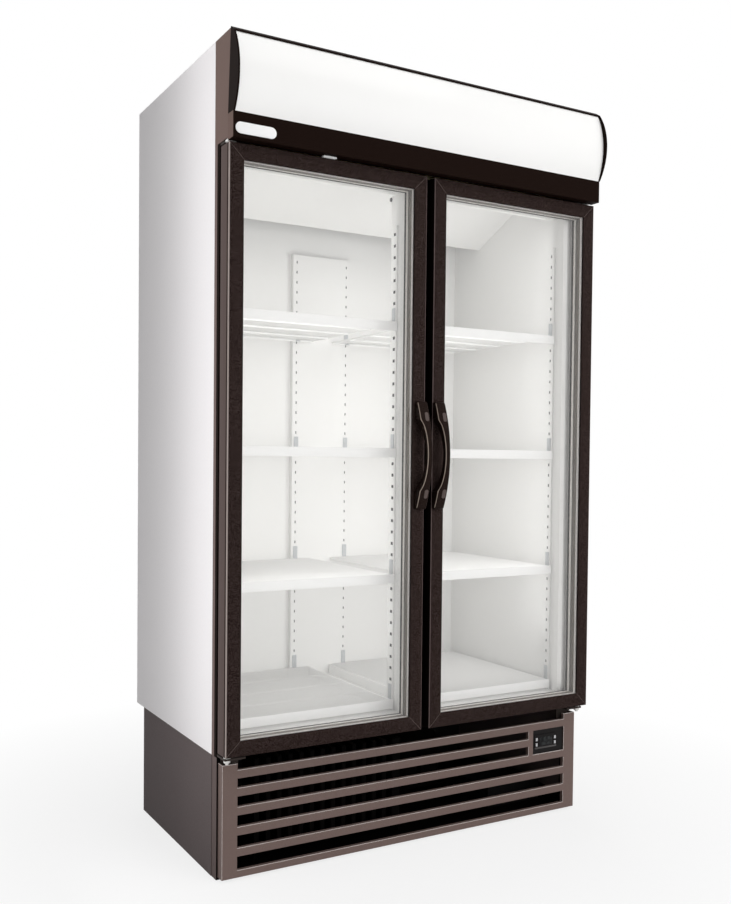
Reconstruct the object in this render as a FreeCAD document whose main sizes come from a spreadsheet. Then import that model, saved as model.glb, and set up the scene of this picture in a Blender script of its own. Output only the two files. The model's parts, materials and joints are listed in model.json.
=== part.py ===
import FreeCAD, Part
import math
import os
from types import SimpleNamespace

import Sketcher

# Two-door upright display freezer, in millimetres.
# X runs left to right, the doors face -Y, Z is up, and the origin is the middle of its footprint.

SIZES = {
    # Cabinet shell
    "cabinet_width": 1123, "cabinet_depth": 600, "overall_height": 2030, "base_height": 301,
    "sheet": 1.2, "liner": 1, "side_wall": 41.5, "back_wall": 65, "floor_wall": 44, "ceiling_wall": 60,
    "header_height": 225, "header_depth": 40,
    # Dark strips round the door opening, and the centre post
    "strip_depth": 30, "strip_lap": 5, "strip_head": 35, "strip_bevel": 8,
    "post_width": 56, "post_depth": 64, "post_round": 8,
    # Doors
    "door_overhang": 3, "door_gap": 24, "door_lift": 15, "door_head_lap": 22, "door_thickness": 53,
    "frame_face": 38, "frame_lip": 4, "frame_web": 22, "pane": 4, "glazing_gap": 24, "pane_play": 0.5,
    "gasket_depth": 15, "gasket_play": 0.3, "gasket_width": 12, "gasket_inset": 16, "gasket_meeting_inset": 3,
    # Hinges
    "hinge_inset": 14, "pin_diameter": 10, "pin_play": 0.05, "pin_engagement": 22, "pin_end_play": 2,
    "collar_diameter": 18, "collar_height": 6.5, "collar_play": 0.3,
    "bracket_plate": 5, "bracket_width": 54, "bracket_flange": 44, "bracket_nose": 9.5,
    # Door handles
    "handle_length": 281, "handle_middle_height": 1040, "handle_width": 30, "handle_reach": 42,
    "handle_foot": 40, "handle_finger_depth": 22, "handle_inset": 1, "handle_bevel": 6,
    "handle_end": 13,
    # Canopy
    "canopy_lift": 13, "canopy_top_reach": 102, "canopy_foot_reach": 84, "canopy_overhang": 3,
    "fascia_gap": 5, "fascia_height": 60, "fascia_reach": 119, "fascia_sheet": 1.5,
    "cap_top_reach": 117.5, "cap_top_drop": 10, "cap_foot_reach": 121.5, "sign_reach": 149,
    "sign_sheet": 3, "sign_set_back": 2.5, "sign_flatter": 9, "tray_sheet": 1.5, "tray_wall_reach": 58,
    "tray_nose": 4, "tray_nose_depth": 7,
    "lamp_diameter": 26, "lamp_reach": 95, "lamp_drop": 105, "lamp_holder": 18, "lamp_holder_height": 44,
    # Shelf supports
    "slot_pitch": 31, "slot_width": 4, "slot_height": 8, "slot_depth": 3, "first_slot_rise": 52,
    "pilaster_width": 24, "pilaster_depth": 4, "pilaster_head": 85, "wall_pilaster_set_back": 30,
    "post_pilaster_set_back": 32, "rear_panel_width": 200, "rear_panel_depth": 18, "rear_panel_sheet": 1.5,
    "rear_column_offset": 87, "outer_pilaster_inset": 80,
    # Shelves
    "deck_rise": 32, "tiers": 4, "shelf_thickness": 6, "shelf_lip": 25, "lip_sheet": 2,
    "shelf_front": 10, "shelf_play": 3, "shelf_rim": 12, "wire_gap": 32, "wire_pitch": 40,
    "clip_sheet": 2.5, "clip_width": 14, "clip_rise": 44, "clip_ledge": 13,
    # Evaporator under the ceiling
    "cover_front_drop": 85, "cover_back_drop": 250, "cover_reach": 400, "cover_sheet": 1.5,
    "cover_flange": 20,
    "evaporator_fan_share": 0.48, "evaporator_fan_along": 84, "evaporator_fan_diameter": 120,
    "guard_slots": 8, "guard_inner_radius": 18, "guard_outer_radius": 62, "guard_spoke": 7,
    "coil_end_gap": 70, "coil_front": 330, "coil_depth": 180, "coil_drop": 170, "coil_height": 130,
    "coil_end_plate": 3, "coil_fins": 14, "coil_fin_gap": 40, "coil_fin_depth": 120,
    # Fans and motors
    "fan_gap": 12, "hub_diameter": 40, "hub_height": 26, "blade_root_share": 0.17, "blade_tip_share": 0.33,
    "blade_sweep_share": 0.066, "blade_thickness": 2.4, "blade_pitch": 30, "blade_count": 5, "hub_sink": 4,
    "shaft_diameter": 8, "shaft_play": 0.05, "shaft_end_play": 2,
    "motor_diameter": 72, "motor_length": 46, "motor_gap": 8,
    "motor_bar": 24, "motor_strap": 3, "motor_leg_clearance": 14,
    # Base
    "base_depth": 534, "pan_sheet": 2, "pan_flange": 32, "corner_post": 34,
    "louvre_length": 380, "louvre_height": 8, "louvre_pitch": 24, "louvre_count": 9, "louvre_rise": 52,
    # Front grille
    "grille_inset": 5.5, "grille_top": 287, "grille_low": 7, "grille_reach": 56, "grille_plate": 3,
    "grille_stile": 40, "grille_notch": 16, "grille_bar": 21, "grille_pitch": 44, "grille_pitch_growth": 2.6,
    "grille_bars": 6, "grille_return": 8, "window_width": 114, "window_post": 17,
    # Controller
    "bezel_lap": 5, "bezel_plate": 2, "bezel_block_width": 82, "bezel_block_height": 40,
    "bezel_block_depth": 2, "bezel_block_inset": 6, "bezel_housing": 16,
    "button_width": 6, "button_height": 9, "button_length": 7,
    "button_proud": 2, "button_play": 0.3, "button_travel": 1.2, "button_stop_play": 0.4, "button_edge": 4,
    "button_spread": 15,
    # Cooling machinery in the base
    "condenser_side_gap": 130, "condenser_width": 430, "condenser_front": 30, "condenser_depth": 80,
    "condenser_height": 240, "condenser_lift": 20, "condenser_end_plate": 3, "condenser_fins": 13,
    "condenser_fin_gap": 20, "condenser_fin_depth": 60, "condenser_fan_diameter": 210, "shroud_sheet": 2,
    "shroud_play": 6, "compressor_side_gap": 330, "compressor_set_back": 330, "compressor_radius": 88,
    "compressor_height": 190, "compressor_shoulder": 24, "compressor_dome": 60, "compressor_crown": 36,
    "compressor_foot_lift": 24, "foot_plate_length": 220, "foot_plate_width": 150, "foot_plate_sheet": 4,
    "foot_mount": 26, "terminal_width": 60, "terminal_depth": 34, "terminal_height": 70,
    "drain_side_gap": 40, "drain_width": 190, "drain_front": 60, "drain_depth": 150, "drain_height": 60,
    "drain_wall": 2.5,
    # Shared by every through cut
    "overrun": 2,
}

doc = FreeCAD.newDocument("Freezer")
sheet = doc.addObject("Spreadsheet::Sheet", "Sizes")
for row, (alias, number) in enumerate(SIZES.items(), start=1):
    sheet.set(f"A{row}", alias)
    sheet.set(f"B{row}", str(number))
    sheet.setAlias(f"B{row}", alias)
doc.recompute()


class Term:
    """A length, angle or count: its value now, and the expression that gives it from the sheet."""

    def __init__(self, value, text):
        self.value = value
        self.text = text

    def join(self, sign, other, value):
        return Term(value, f"({self.text} {sign} {term(other).text})")

    def __add__(self, other):
        return self.join("+", other, self.value + term(other).value)

    def __sub__(self, other):
        return self.join("-", other, self.value - term(other).value)

    def __mul__(self, other):
        return self.join("*", other, self.value * term(other).value)

    def __truediv__(self, other):
        return self.join("/", other, self.value / term(other).value)

    def __neg__(self):
        return Term(-self.value, f"(0 - {self.text})")


def term(number):
    return number if isinstance(number, Term) else Term(float(number), str(number))


def root(square):
    return Term(math.sqrt(square.value), f"sqrt({square.text})")


def whole(number):
    return Term(float(math.floor(number.value)), f"floor({number.text})")


def slope_angle(rise, run):
    return Term(math.degrees(math.atan(rise.value / run.value)), f"atan({rise.text} / {run.text})")


def bind(thing, prop, size):
    thing.setExpression(prop, term(size).text)


s = SimpleNamespace(**{alias: Term(float(number), f"Sizes.{alias}") for alias, number in SIZES.items()})
ZERO = term(0)


# Shared places

HALF = s.cabinet_width / 2
FRONT = (s.sign_reach - s.cabinet_depth) / 2
BACK = FRONT + s.cabinet_depth
TOP = s.overall_height
BASE_TOP = s.base_height
INNER_HALF = HALF - s.side_wall
INNER_BACK = BACK - s.back_wall
FLOOR = BASE_TOP + s.floor_wall
CEILING = TOP - s.ceiling_wall
LINTEL = CEILING - s.header_height
STRIP_FACE = FRONT - s.strip_depth
DOOR_BACK = STRIP_FACE - s.gasket_depth
DOOR_FACE = DOOR_BACK - s.door_thickness
DOOR_LOW = BASE_TOP + s.door_lift
DOOR_HIGH = LINTEL + s.door_head_lap
DOOR_OUTER = HALF + s.door_overhang
DOOR_MEETING = s.door_gap / 2
HINGE_X = DOOR_OUTER - s.hinge_inset
HINGE_Y = DOOR_BACK - s.door_thickness / 2

NORMAL_SIGN = {"XY": 1, "XZ": -1, "YZ": 1}
AXIS_TURN = {"X": (FreeCAD.Vector(0, 1, 0), 90), "Y": (FreeCAD.Vector(1, 0, 0), -90), "Z": None}
subparts = []


def keep(piece, node):
    """Names a finished sub-part after its node and puts it on the list to be written."""
    piece.Label = node
    subparts.append(piece)
    return piece


def span(side, inner, outer):
    """The low and high X of a piece between two distances from the middle, on one side."""
    return (inner, outer) if side > 0 else (-outer, -inner)


def place(piece, spot):
    for axis, size in zip("xyz", spot):
        bind(piece, f"Placement.Base.{axis}", size)


def box(name, low, high):
    piece = doc.addObject("Part::Box", name)
    for prop, a, b in zip(("Length", "Width", "Height"), low, high):
        bind(piece, prop, term(b) - a)
    place(piece, low)
    return piece


def cylinder(name, start, radius, length, axis="Z"):
    piece = doc.addObject("Part::Cylinder", name)
    bind(piece, "Radius", radius)
    bind(piece, "Height", length)
    if AXIS_TURN[axis]:
        piece.Placement = FreeCAD.Placement(FreeCAD.Vector(), FreeCAD.Rotation(*AXIS_TURN[axis]))
    place(piece, start)
    return piece


def fuse(name, *pieces):
    piece = doc.addObject("Part::MultiFuse", name)
    piece.Shapes = list(pieces)
    return piece


def cut(name, base, *tools):
    for tool in tools:
        piece = doc.addObject("Part::Cut", name)
        piece.Base = base
        piece.Tool = tool
        base = piece
    return base


def group(name, pieces):
    piece = doc.addObject("Part::Compound", name)
    piece.Links = list(pieces)
    return piece


def tangent(angle):
    return Term(math.tan(math.radians(angle.value)), f"tan({angle.text})")


def sketch_on(body, plane, height, centre=(0, 0)):
    """An empty sketch on one of the body's own planes, at a distance along that plane's axis."""
    flat = next(part for part in body.Origin.OriginFeatures if part.Role == f"{plane}_Plane")
    sketch = body.newObject("Sketcher::SketchObject", f"{body.Name}_outline")
    sketch.AttachmentSupport = [(flat, "")]
    sketch.MapMode = "FlatFace"
    for axis, size in zip("xyz", (*centre, term(height) * NORMAL_SIGN[plane])):
        bind(sketch, f"AttachmentOffset.Base.{axis}", size)
    return sketch


def draw(sketch, outline):
    """A closed outline: corners (a, b), or (a, b, bulge) where the edge that follows is an arc."""
    corners = [(term(c[0]), term(c[1]), c[2] if len(c) > 2 else None) for c in outline]
    ends = []
    for here, there in zip(corners, corners[1:] + corners[:1]):
        start = FreeCAD.Vector(here[0].value, here[1].value, 0)
        stop = FreeCAD.Vector(there[0].value, there[1].value, 0)
        if here[2] is None:
            edge = sketch.addGeometry(Part.LineSegment(start, stop), False)
            ends.append((edge, 1, 2))
            continue
        bulge = here[2]
        across = there[0] - here[0]
        up = there[1] - here[1]
        chord = root(across * across + up * up)
        aside = FreeCAD.Vector(up.value, -across.value, 0) / chord.value
        crown = (start + stop) / 2 + aside * bulge.value
        forward = bulge.value > 0
        arc = Part.Arc(start, crown, stop) if forward else Part.Arc(stop, crown, start)
        edge = sketch.addGeometry(arc, False)
        ends.append((edge, 1, 2) if forward else (edge, 2, 1))
        depth = bulge if forward else -bulge
        radius = (chord * chord / 4 + depth * depth) / (depth * 2)
        rule = sketch.addConstraint(Sketcher.Constraint("Radius", edge, radius.value))
        bind(sketch, f"Constraints[{rule}]", radius)
    for (edge, _, stop), (follower, start, _) in zip(ends, ends[1:] + ends[:1]):
        sketch.addConstraint(Sketcher.Constraint("Coincident", edge, stop, follower, start))
    for (edge, start, _), corner in zip(ends, corners):
        for kind, size in zip(("DistanceX", "DistanceY"), corner):
            rule = sketch.addConstraint(Sketcher.Constraint(kind, -1, 1, edge, start, size.value))
            bind(sketch, f"Constraints[{rule}]", size)


def prism(name, plane, outline, low, high):
    """A body with one outline padded between two heights along the plane's axis."""
    body = doc.addObject("PartDesign::Body", name)
    add_pad(body, plane, outline, low, high)
    return body


def add_pad(body, plane, outline, low, high):
    sketch = sketch_on(body, plane, low if NORMAL_SIGN[plane] > 0 else high)
    draw(sketch, outline)
    pad = body.newObject("PartDesign::Pad", f"{body.Name}_pad")
    pad.Profile = sketch
    bind(pad, "Length", term(high) - low)
    return pad


def add_pocket(body, plane, outline, low, high, centre=(0, 0)):
    sketch = sketch_on(body, plane, high if NORMAL_SIGN[plane] > 0 else low, centre)
    draw(sketch, outline)
    pocket = body.newObject("PartDesign::Pocket", f"{body.Name}_pocket")
    pocket.Profile = sketch
    bind(pocket, "Length", term(high) - low)
    return pocket


def repeat(body, features, axis, pitch, count):
    """Repeats features of a body in a row along one of the body's own axes."""
    line = next(part for part in body.Origin.OriginFeatures if part.Role == f"{axis}_Axis")
    row = body.newObject("PartDesign::LinearPattern", f"{body.Name}_row")
    row.Originals = features
    row.Direction = (line, [""])
    bind(row, "Length", pitch * (count - 1))
    bind(row, "Occurrences", count)
    body.Tip = row
    return row


def turn_about(body, feature, axis, count):
    """Repeats a feature of a body evenly round an axis."""
    wheel = body.newObject("PartDesign::PolarPattern", f"{body.Name}_wheel")
    wheel.Originals = [feature]
    wheel.Axis = axis
    wheel.Angle = 360
    bind(wheel, "Occurrences", count)
    body.Tip = wheel
    return wheel


def lathe(name, outline):
    """A body turned about its own Z axis from a half outline of radius and height."""
    body = doc.addObject("PartDesign::Body", name)
    sketch = sketch_on(body, "XZ", ZERO)
    draw(sketch, outline)
    turned = body.newObject("PartDesign::Revolution", f"{name}_turned")
    turned.Profile = sketch
    turned.ReferenceAxis = (sketch, ["V_Axis"])
    turned.Angle = 360
    return body


def bevel_edges(body, size, chosen):
    """Bevels the edges of a body that the test picks."""
    doc.recompute()
    base = body.Tip
    picked = [f"Edge{i}" for i, edge in enumerate(base.Shape.Edges, start=1) if chosen(edge)]
    bevel = body.newObject("PartDesign::Chamfer", f"{body.Name}_bevel")
    bevel.Base = (base, picked)
    bind(bevel, "Size", size)
    return bevel


def rectangle(left, low, right, high):
    return [(left, low), (right, low), (right, high), (left, high)]


def ring(name, outer, inner, low, high):
    """A flat rectangular ring in X and Z, between two Y places."""
    body = prism(name, "XZ", rectangle(*outer), low, high)
    add_pocket(body, "XZ", rectangle(*inner), low - s.overrun, high + s.overrun)
    return body


# Cabinet: outer sheets, inner liner and the foam between them

SKIN = HALF - s.sheet
for side, node in ((-1, "left_side_panel"), (1, "right_side_panel")):
    low_x, high_x = span(side, SKIN, HALF)
    keep(box(node, (low_x, FRONT, BASE_TOP), (high_x, BACK, TOP)), node)
keep(box("top_panel", (-SKIN, FRONT, TOP - s.sheet), (SKIN, BACK, TOP)), "top_panel")
keep(box("back_panel", (-SKIN, BACK - s.sheet, BASE_TOP), (SKIN, BACK, TOP - s.sheet)), "back_panel")

HEADER_BACK = FRONT + s.header_depth
wall_outline = [
    (FRONT, FLOOR), (INNER_BACK + s.liner, FLOOR), (INNER_BACK + s.liner, CEILING),
    (HEADER_BACK - s.liner, CEILING), (HEADER_BACK - s.liner, LINTEL), (FRONT, LINTEL),
]
LINED = INNER_HALF + s.liner
liner_sheets = [
    prism("liner_left", "YZ", wall_outline, -LINED, -INNER_HALF),
    prism("liner_right", "YZ", wall_outline, INNER_HALF, LINED),
    box("liner_floor", (-LINED, FRONT, FLOOR - s.liner), (LINED, INNER_BACK + s.liner, FLOOR)),
    box("liner_back", (-INNER_HALF, INNER_BACK, FLOOR), (INNER_HALF, INNER_BACK + s.liner, CEILING)),
    box("liner_top", (-LINED, HEADER_BACK - s.liner, CEILING),
        (LINED, INNER_BACK + s.liner, CEILING + s.liner)),
    box("liner_header", (-INNER_HALF, HEADER_BACK - s.liner, LINTEL + s.liner),
        (INNER_HALF, HEADER_BACK, CEILING)),
    box("liner_lintel", (-INNER_HALF, FRONT, LINTEL), (INNER_HALF, HEADER_BACK, LINTEL + s.liner)),
]
keep(group("inner_liner", liner_sheets), "inner_liner")

foam = prism("insulation_foam", "XZ", rectangle(-SKIN, BASE_TOP, SKIN, TOP - s.sheet), FRONT, BACK - s.sheet)
add_pocket(foam, "XZ", rectangle(-LINED, FLOOR - s.liner, LINED, LINTEL + s.liner), FRONT - s.overrun,
           INNER_BACK + s.liner)
add_pocket(foam, "XZ", rectangle(-LINED, LINTEL, LINED, CEILING + s.liner), HEADER_BACK - s.liner,
           INNER_BACK + s.liner)
keep(foam, "insulation_foam")


# Dark strips round the opening, with a bevel along each inner edge, and the white centre post

STRIP_INNER = INNER_HALF - s.strip_lap
POST_HALF = s.post_width / 2
STRIP_TOP = LINTEL + s.strip_head
strips = []
for side in (-1, 1):
    outline = [
        (HALF * side, FRONT), (HALF * side, STRIP_FACE), ((STRIP_INNER + s.strip_bevel) * side, STRIP_FACE),
        (STRIP_INNER * side, STRIP_FACE + s.strip_bevel), (STRIP_INNER * side, FRONT),
    ]
    strips.append(prism(f"jamb_strip_{side}", "XY", outline, BASE_TOP, STRIP_TOP))
sill_outline = [
    (FRONT, BASE_TOP), (FRONT, FLOOR), (STRIP_FACE + s.strip_bevel, FLOOR),
    (STRIP_FACE, FLOOR - s.strip_bevel), (STRIP_FACE, BASE_TOP),
]
head_outline = [
    (FRONT, STRIP_TOP), (FRONT, LINTEL), (STRIP_FACE + s.strip_bevel, LINTEL),
    (STRIP_FACE, LINTEL + s.strip_bevel), (STRIP_FACE, STRIP_TOP),
]
strips.append(prism("sill_strip", "YZ", sill_outline, -STRIP_INNER, STRIP_INNER))
strips.append(prism("head_strip", "YZ", head_outline, -STRIP_INNER, STRIP_INNER))
strips.append(box("post_strip", (-POST_HALF, STRIP_FACE, FLOOR), (POST_HALF, FRONT, LINTEL)))
keep(group("breaker_strips", strips), "breaker_strips")

POST_BACK = FRONT + s.post_depth
post_outline = [
    (-POST_HALF, FRONT), (POST_HALF, FRONT), (POST_HALF, POST_BACK - s.post_round),
    (POST_HALF - s.post_round, POST_BACK), (s.post_round - POST_HALF, POST_BACK),
    (-POST_HALF, POST_BACK - s.post_round),
]
keep(prism("mullion_post", "XY", post_outline, FLOOR, LINTEL), "mullion_post")


# Sign canopy: side panels, end caps, curved sign, lamp and its tray, and the fascia under the sign

CANOPY_LOW = DOOR_HIGH + s.canopy_lift
CANOPY_HALF = HALF + s.canopy_overhang
FASCIA_LOW = DOOR_HIGH + s.fascia_gap
FASCIA_HIGH = FASCIA_LOW + s.fascia_height
side_outline = [
    (FRONT, CANOPY_LOW), (FRONT, TOP), (FRONT - s.canopy_top_reach, TOP),
    (FRONT - s.canopy_foot_reach, CANOPY_LOW),
]
panels = [prism(f"canopy_side_{side}", "YZ", side_outline, *span(side, SKIN, HALF)) for side in (-1, 1)]
keep(group("canopy_side_panels", panels), "canopy_side_panels")

FOOT_LINE = s.canopy_foot_reach + (s.canopy_top_reach - s.canopy_foot_reach) * (
    (FASCIA_HIGH - CANOPY_LOW) / (TOP - CANOPY_LOW))
CAP_BULGE = s.sign_reach - (s.cap_top_reach + s.cap_foot_reach) / 2
NOSE_TOP = TOP - s.cap_top_drop
CANOPY_BEND = FRONT - s.canopy_top_reach
cap_outline = [
    (CANOPY_BEND, TOP), (FRONT - s.cap_top_reach, NOSE_TOP, CAP_BULGE),
    (FRONT - s.cap_foot_reach, FASCIA_HIGH), (FRONT - FOOT_LINE, FASCIA_HIGH),
]
for side, node in ((-1, "end_cap_left"), (1, "end_cap_right")):
    keep(prism(node, "YZ", cap_outline, *span(side, SKIN, CANOPY_HALF)), node)

SIGN_TOP = NOSE_TOP - s.tray_nose
SIGN_BULGE = CAP_BULGE - s.sign_flatter
SIGN_TOP_FACE = FRONT - s.cap_top_reach + s.sign_set_back
SIGN_FOOT_FACE = FRONT - s.cap_foot_reach + s.sign_set_back
sign_outline = [
    (SIGN_TOP_FACE, SIGN_TOP, SIGN_BULGE), (SIGN_FOOT_FACE, FASCIA_HIGH),
    (SIGN_FOOT_FACE + s.sign_sheet, FASCIA_HIGH, -SIGN_BULGE), (SIGN_TOP_FACE + s.sign_sheet, SIGN_TOP),
]
keep(prism("sign_panel", "YZ", sign_outline, -SKIN, SKIN), "sign_panel")

TRAY_FRONT = FRONT - s.tray_wall_reach
TRAY_LIP = FRONT - s.cap_top_reach
TRAY_FOOT = SIGN_FOOT_FACE + s.sign_sheet
NOSE_BACK = TRAY_LIP + s.tray_nose_depth
nose_rise = s.cap_top_drop * s.tray_nose_depth / (s.cap_top_reach - s.canopy_top_reach)
tray_outline = [
    (TRAY_LIP, NOSE_TOP), (CANOPY_BEND, TOP), (FRONT, TOP), (FRONT, TOP - s.tray_sheet),
    (TRAY_FRONT, TOP - s.tray_sheet), (TRAY_FRONT, FASCIA_HIGH), (TRAY_FOOT, FASCIA_HIGH),
    (TRAY_FOOT, FASCIA_HIGH + s.tray_sheet), (TRAY_FRONT - s.tray_sheet, FASCIA_HIGH + s.tray_sheet),
    (TRAY_FRONT - s.tray_sheet, TOP - s.tray_sheet), (CANOPY_BEND, TOP - s.tray_sheet),
    (NOSE_BACK, NOSE_TOP + nose_rise - s.tray_sheet), (NOSE_BACK, SIGN_TOP), (TRAY_LIP, SIGN_TOP),
]
keep(prism("canopy_tray", "YZ", tray_outline, -SKIN, SKIN), "canopy_tray")

LAMP_Y = FRONT - s.lamp_reach
LAMP_Z = TOP - s.lamp_drop
HOLDER_INNER = SKIN - s.lamp_holder
tube = cylinder("lamp_tube", (-HOLDER_INNER, LAMP_Y, LAMP_Z), s.lamp_diameter / 2, HOLDER_INNER * 2, "X")
holders = [
    box(f"lamp_holder_{side}", (span(side, HOLDER_INNER, SKIN)[0], LAMP_Y - s.lamp_diameter / 2,
                                LAMP_Z - s.lamp_holder_height / 2),
        (span(side, HOLDER_INNER, SKIN)[1], TRAY_FRONT - s.tray_sheet, LAMP_Z + s.lamp_holder_height / 2))
    for side in (-1, 1)
]
keep(fuse("sign_lamp", tube, *holders), "sign_lamp")

FASCIA_FACE = FRONT - s.fascia_reach
FASCIA_BACK = FRONT - FOOT_LINE
fascia_face = rectangle(-CANOPY_HALF, FASCIA_LOW, CANOPY_HALF, FASCIA_HIGH)
fascia = prism("fascia", "XZ", fascia_face, FASCIA_FACE, FASCIA_BACK)
add_pocket(fascia, "XZ", rectangle(s.fascia_sheet - CANOPY_HALF, FASCIA_LOW + s.fascia_sheet,
                                   CANOPY_HALF - s.fascia_sheet, FASCIA_HIGH - s.fascia_sheet),
           FASCIA_FACE + s.fascia_sheet, FASCIA_BACK + s.overrun)
keep(fascia, "fascia")


# Doors: mitred frame, two panes with a spacer between them, glazing bead, gasket and bow handle

def frame_member(name, start, stop, inward):
    """One mitred profile: a wide lip in front of the glass and a narrower web behind the lip."""
    def strip(width):
        (ax, az), (bx, bz) = start, stop
        (ix, iz), (jx, jz) = inward
        return [(ax, az), (bx, bz), (bx + width * jx, bz + width * jz), (ax + width * ix, az + width * iz)]

    body = prism(name, "XZ", strip(s.frame_face), DOOR_FACE, DOOR_FACE + s.frame_lip)
    add_pad(body, "XZ", strip(s.frame_web), DOOR_FACE + s.frame_lip, DOOR_BACK)
    return body


OUTER_PANE_BACK = DOOR_FACE + s.frame_lip + s.pane
INNER_PANE_FACE = OUTER_PANE_BACK + s.glazing_gap
PIN_RADIUS = s.pin_diameter / 2
BORE_DEPTH = s.pin_engagement + s.pin_end_play
HANDLE_LOW = s.handle_middle_height - s.handle_length / 2
HANDLE_HIGH = s.handle_middle_height + s.handle_length / 2
FINGER_LOW = HANDLE_LOW + s.handle_foot
FINGER_HIGH = HANDLE_HIGH - s.handle_foot


def door_field(side, inset, meeting_inset):
    """The rectangle a distance in from the door's outer edges: left, low, right, high."""
    left, right = span(side, DOOR_MEETING + meeting_inset, DOOR_OUTER - inset)
    return left, DOOR_LOW + inset, right, DOOR_HIGH - inset


for side, door in ((-1, "left_door"), (1, "right_door")):
    outer = DOOR_OUTER * side
    meeting = DOOR_MEETING * side
    to_middle = -side
    corner_turns = {
        "hinge_stile": ((outer, DOOR_LOW), (outer, DOOR_HIGH), ((to_middle, 1), (to_middle, -1))),
        "meeting_stile": ((meeting, DOOR_LOW), (meeting, DOOR_HIGH), ((side, 1), (side, -1))),
        "low_rail": ((outer, DOOR_LOW), (meeting, DOOR_LOW), ((to_middle, 1), (side, 1))),
        "top_rail": ((outer, DOOR_HIGH), (meeting, DOOR_HIGH), ((to_middle, -1), (side, -1))),
    }
    bores = [
        cylinder(f"{door}_bore_{end}", (HINGE_X * side, HINGE_Y, z), PIN_RADIUS + s.pin_play,
                 BORE_DEPTH + s.overrun)
        for end, z in (("low", DOOR_LOW - s.overrun), ("top", DOOR_HIGH - BORE_DEPTH))
    ]
    members = []
    for member, (start, stop, inward) in corner_turns.items():
        profile = frame_member(f"{door}_{member}", start, stop, inward)
        hinge_tools = {"hinge_stile": bores, "low_rail": bores[:1], "top_rail": bores[1:]}.get(member, [])
        members.append(cut(f"{door}_{member}_bored", profile, *hinge_tools))
    keep(group(f"{door}_frame", members), f"{door}_frame")

    seat = s.frame_web + s.pane_play
    left, low, right, high = door_field(side, seat, seat)
    keep(box(f"{door}_outer_pane", (left, DOOR_FACE + s.frame_lip, low), (right, OUTER_PANE_BACK, high)),
         f"{door}_outer_pane")
    keep(box(f"{door}_inner_pane", (left, INNER_PANE_FACE, low), (right, INNER_PANE_FACE + s.pane, high)),
         f"{door}_inner_pane")
    sight = door_field(side, s.frame_face, s.frame_face)
    keep(ring(f"{door}_spacer", door_field(side, seat, seat), sight, OUTER_PANE_BACK, INNER_PANE_FACE),
         f"{door}_spacer")
    keep(ring(f"{door}_glazing_bead", door_field(side, s.frame_web, s.frame_web), sight,
              INNER_PANE_FACE + s.pane, DOOR_BACK), f"{door}_glazing_bead")
    gasket_inner = s.gasket_inset + s.gasket_width
    gasket_meeting_inner = s.gasket_meeting_inset + s.gasket_width
    keep(ring(f"{door}_gasket", door_field(side, s.gasket_inset, s.gasket_meeting_inset),
              door_field(side, gasket_inner, gasket_meeting_inner), DOOR_BACK, STRIP_FACE - s.gasket_play),
         f"{door}_gasket")

    bow = [
        (DOOR_FACE, HANDLE_HIGH), (DOOR_FACE - s.handle_end, HANDLE_HIGH, s.handle_reach - s.handle_end),
        (DOOR_FACE - s.handle_end, HANDLE_LOW), (DOOR_FACE, HANDLE_LOW),
        (DOOR_FACE, FINGER_LOW, -s.handle_finger_depth), (DOOR_FACE, FINGER_HIGH),
    ]
    grip_inner = DOOR_MEETING + s.handle_inset
    handle = prism(f"{door}_handle", "YZ", bow, *span(side, grip_inner, grip_inner + s.handle_width))
    bevel_edges(handle, s.handle_bevel, lambda edge: edge.Length > s.handle_length.value)
    keep(handle, f"{door}_handle")


# Hinge brackets: a plate at the door's corner, a flange behind it, and a pin with a hexagon collar

NOSE_FRONT = HINGE_Y - s.bracket_nose
brackets = []
for side in (-1, 1):
    for up, edge in ((1, DOOR_LOW), (-1, DOOR_HIGH)):
        name = f"bracket_{side}_{up}"
        collar_low = edge - (s.collar_play + s.collar_height) * up
        plate_far = collar_low - s.bracket_plate * up
        plate_low, plate_high = (plate_far, collar_low) if up > 0 else (collar_low, plate_far)
        inner = HINGE_X + s.bracket_nose - s.bracket_width
        plate_x = span(side, inner, HINGE_X + s.bracket_nose)
        plate = box(f"{name}_plate", (plate_x[0], NOSE_FRONT, plate_low),
                    (plate_x[1], STRIP_FACE, plate_high))
        flange_far = collar_low - s.bracket_flange * up
        flange_low, flange_high = (flange_far, collar_low) if up > 0 else (collar_low, flange_far)
        flange_x = span(side, inner, HINGE_X)
        flange = box(f"{name}_flange", (flange_x[0], STRIP_FACE - s.bracket_plate, flange_low),
                     (flange_x[1], STRIP_FACE, flange_high))
        collar_z = collar_low if up > 0 else collar_low - s.collar_height
        collar = doc.addObject("Part::Prism", f"{name}_collar")
        collar.Polygon = 6
        bind(collar, "Circumradius", s.collar_diameter / 2)
        bind(collar, "Height", s.collar_height)
        place(collar, (HINGE_X * side, HINGE_Y, collar_z))
        pin_length = s.collar_height + s.collar_play + s.pin_engagement
        pin_z = collar_low if up > 0 else collar_low - pin_length
        pin = cylinder(f"{name}_pin", (HINGE_X * side, HINGE_Y, pin_z), PIN_RADIUS, pin_length)
        brackets.append(fuse(name, plate, flange, collar, pin))
keep(group("hinge_brackets", brackets), "hinge_brackets")


# Shelf supports: slotted channels on the walls, the post and the back

PILASTER_HIGH = LINTEL - s.pilaster_head
SLOT_FIRST = FLOOR + s.first_slot_rise
SLOT_COUNT = whole((PILASTER_HIGH - SLOT_FIRST - s.slot_height) / s.slot_pitch) + 1
DECK_TOP = FLOOR + s.deck_rise
TIER_SLOTS = whole((LINTEL - DECK_TOP) / s.tiers / s.slot_pitch)
TIER = s.slot_pitch * TIER_SLOTS


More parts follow.
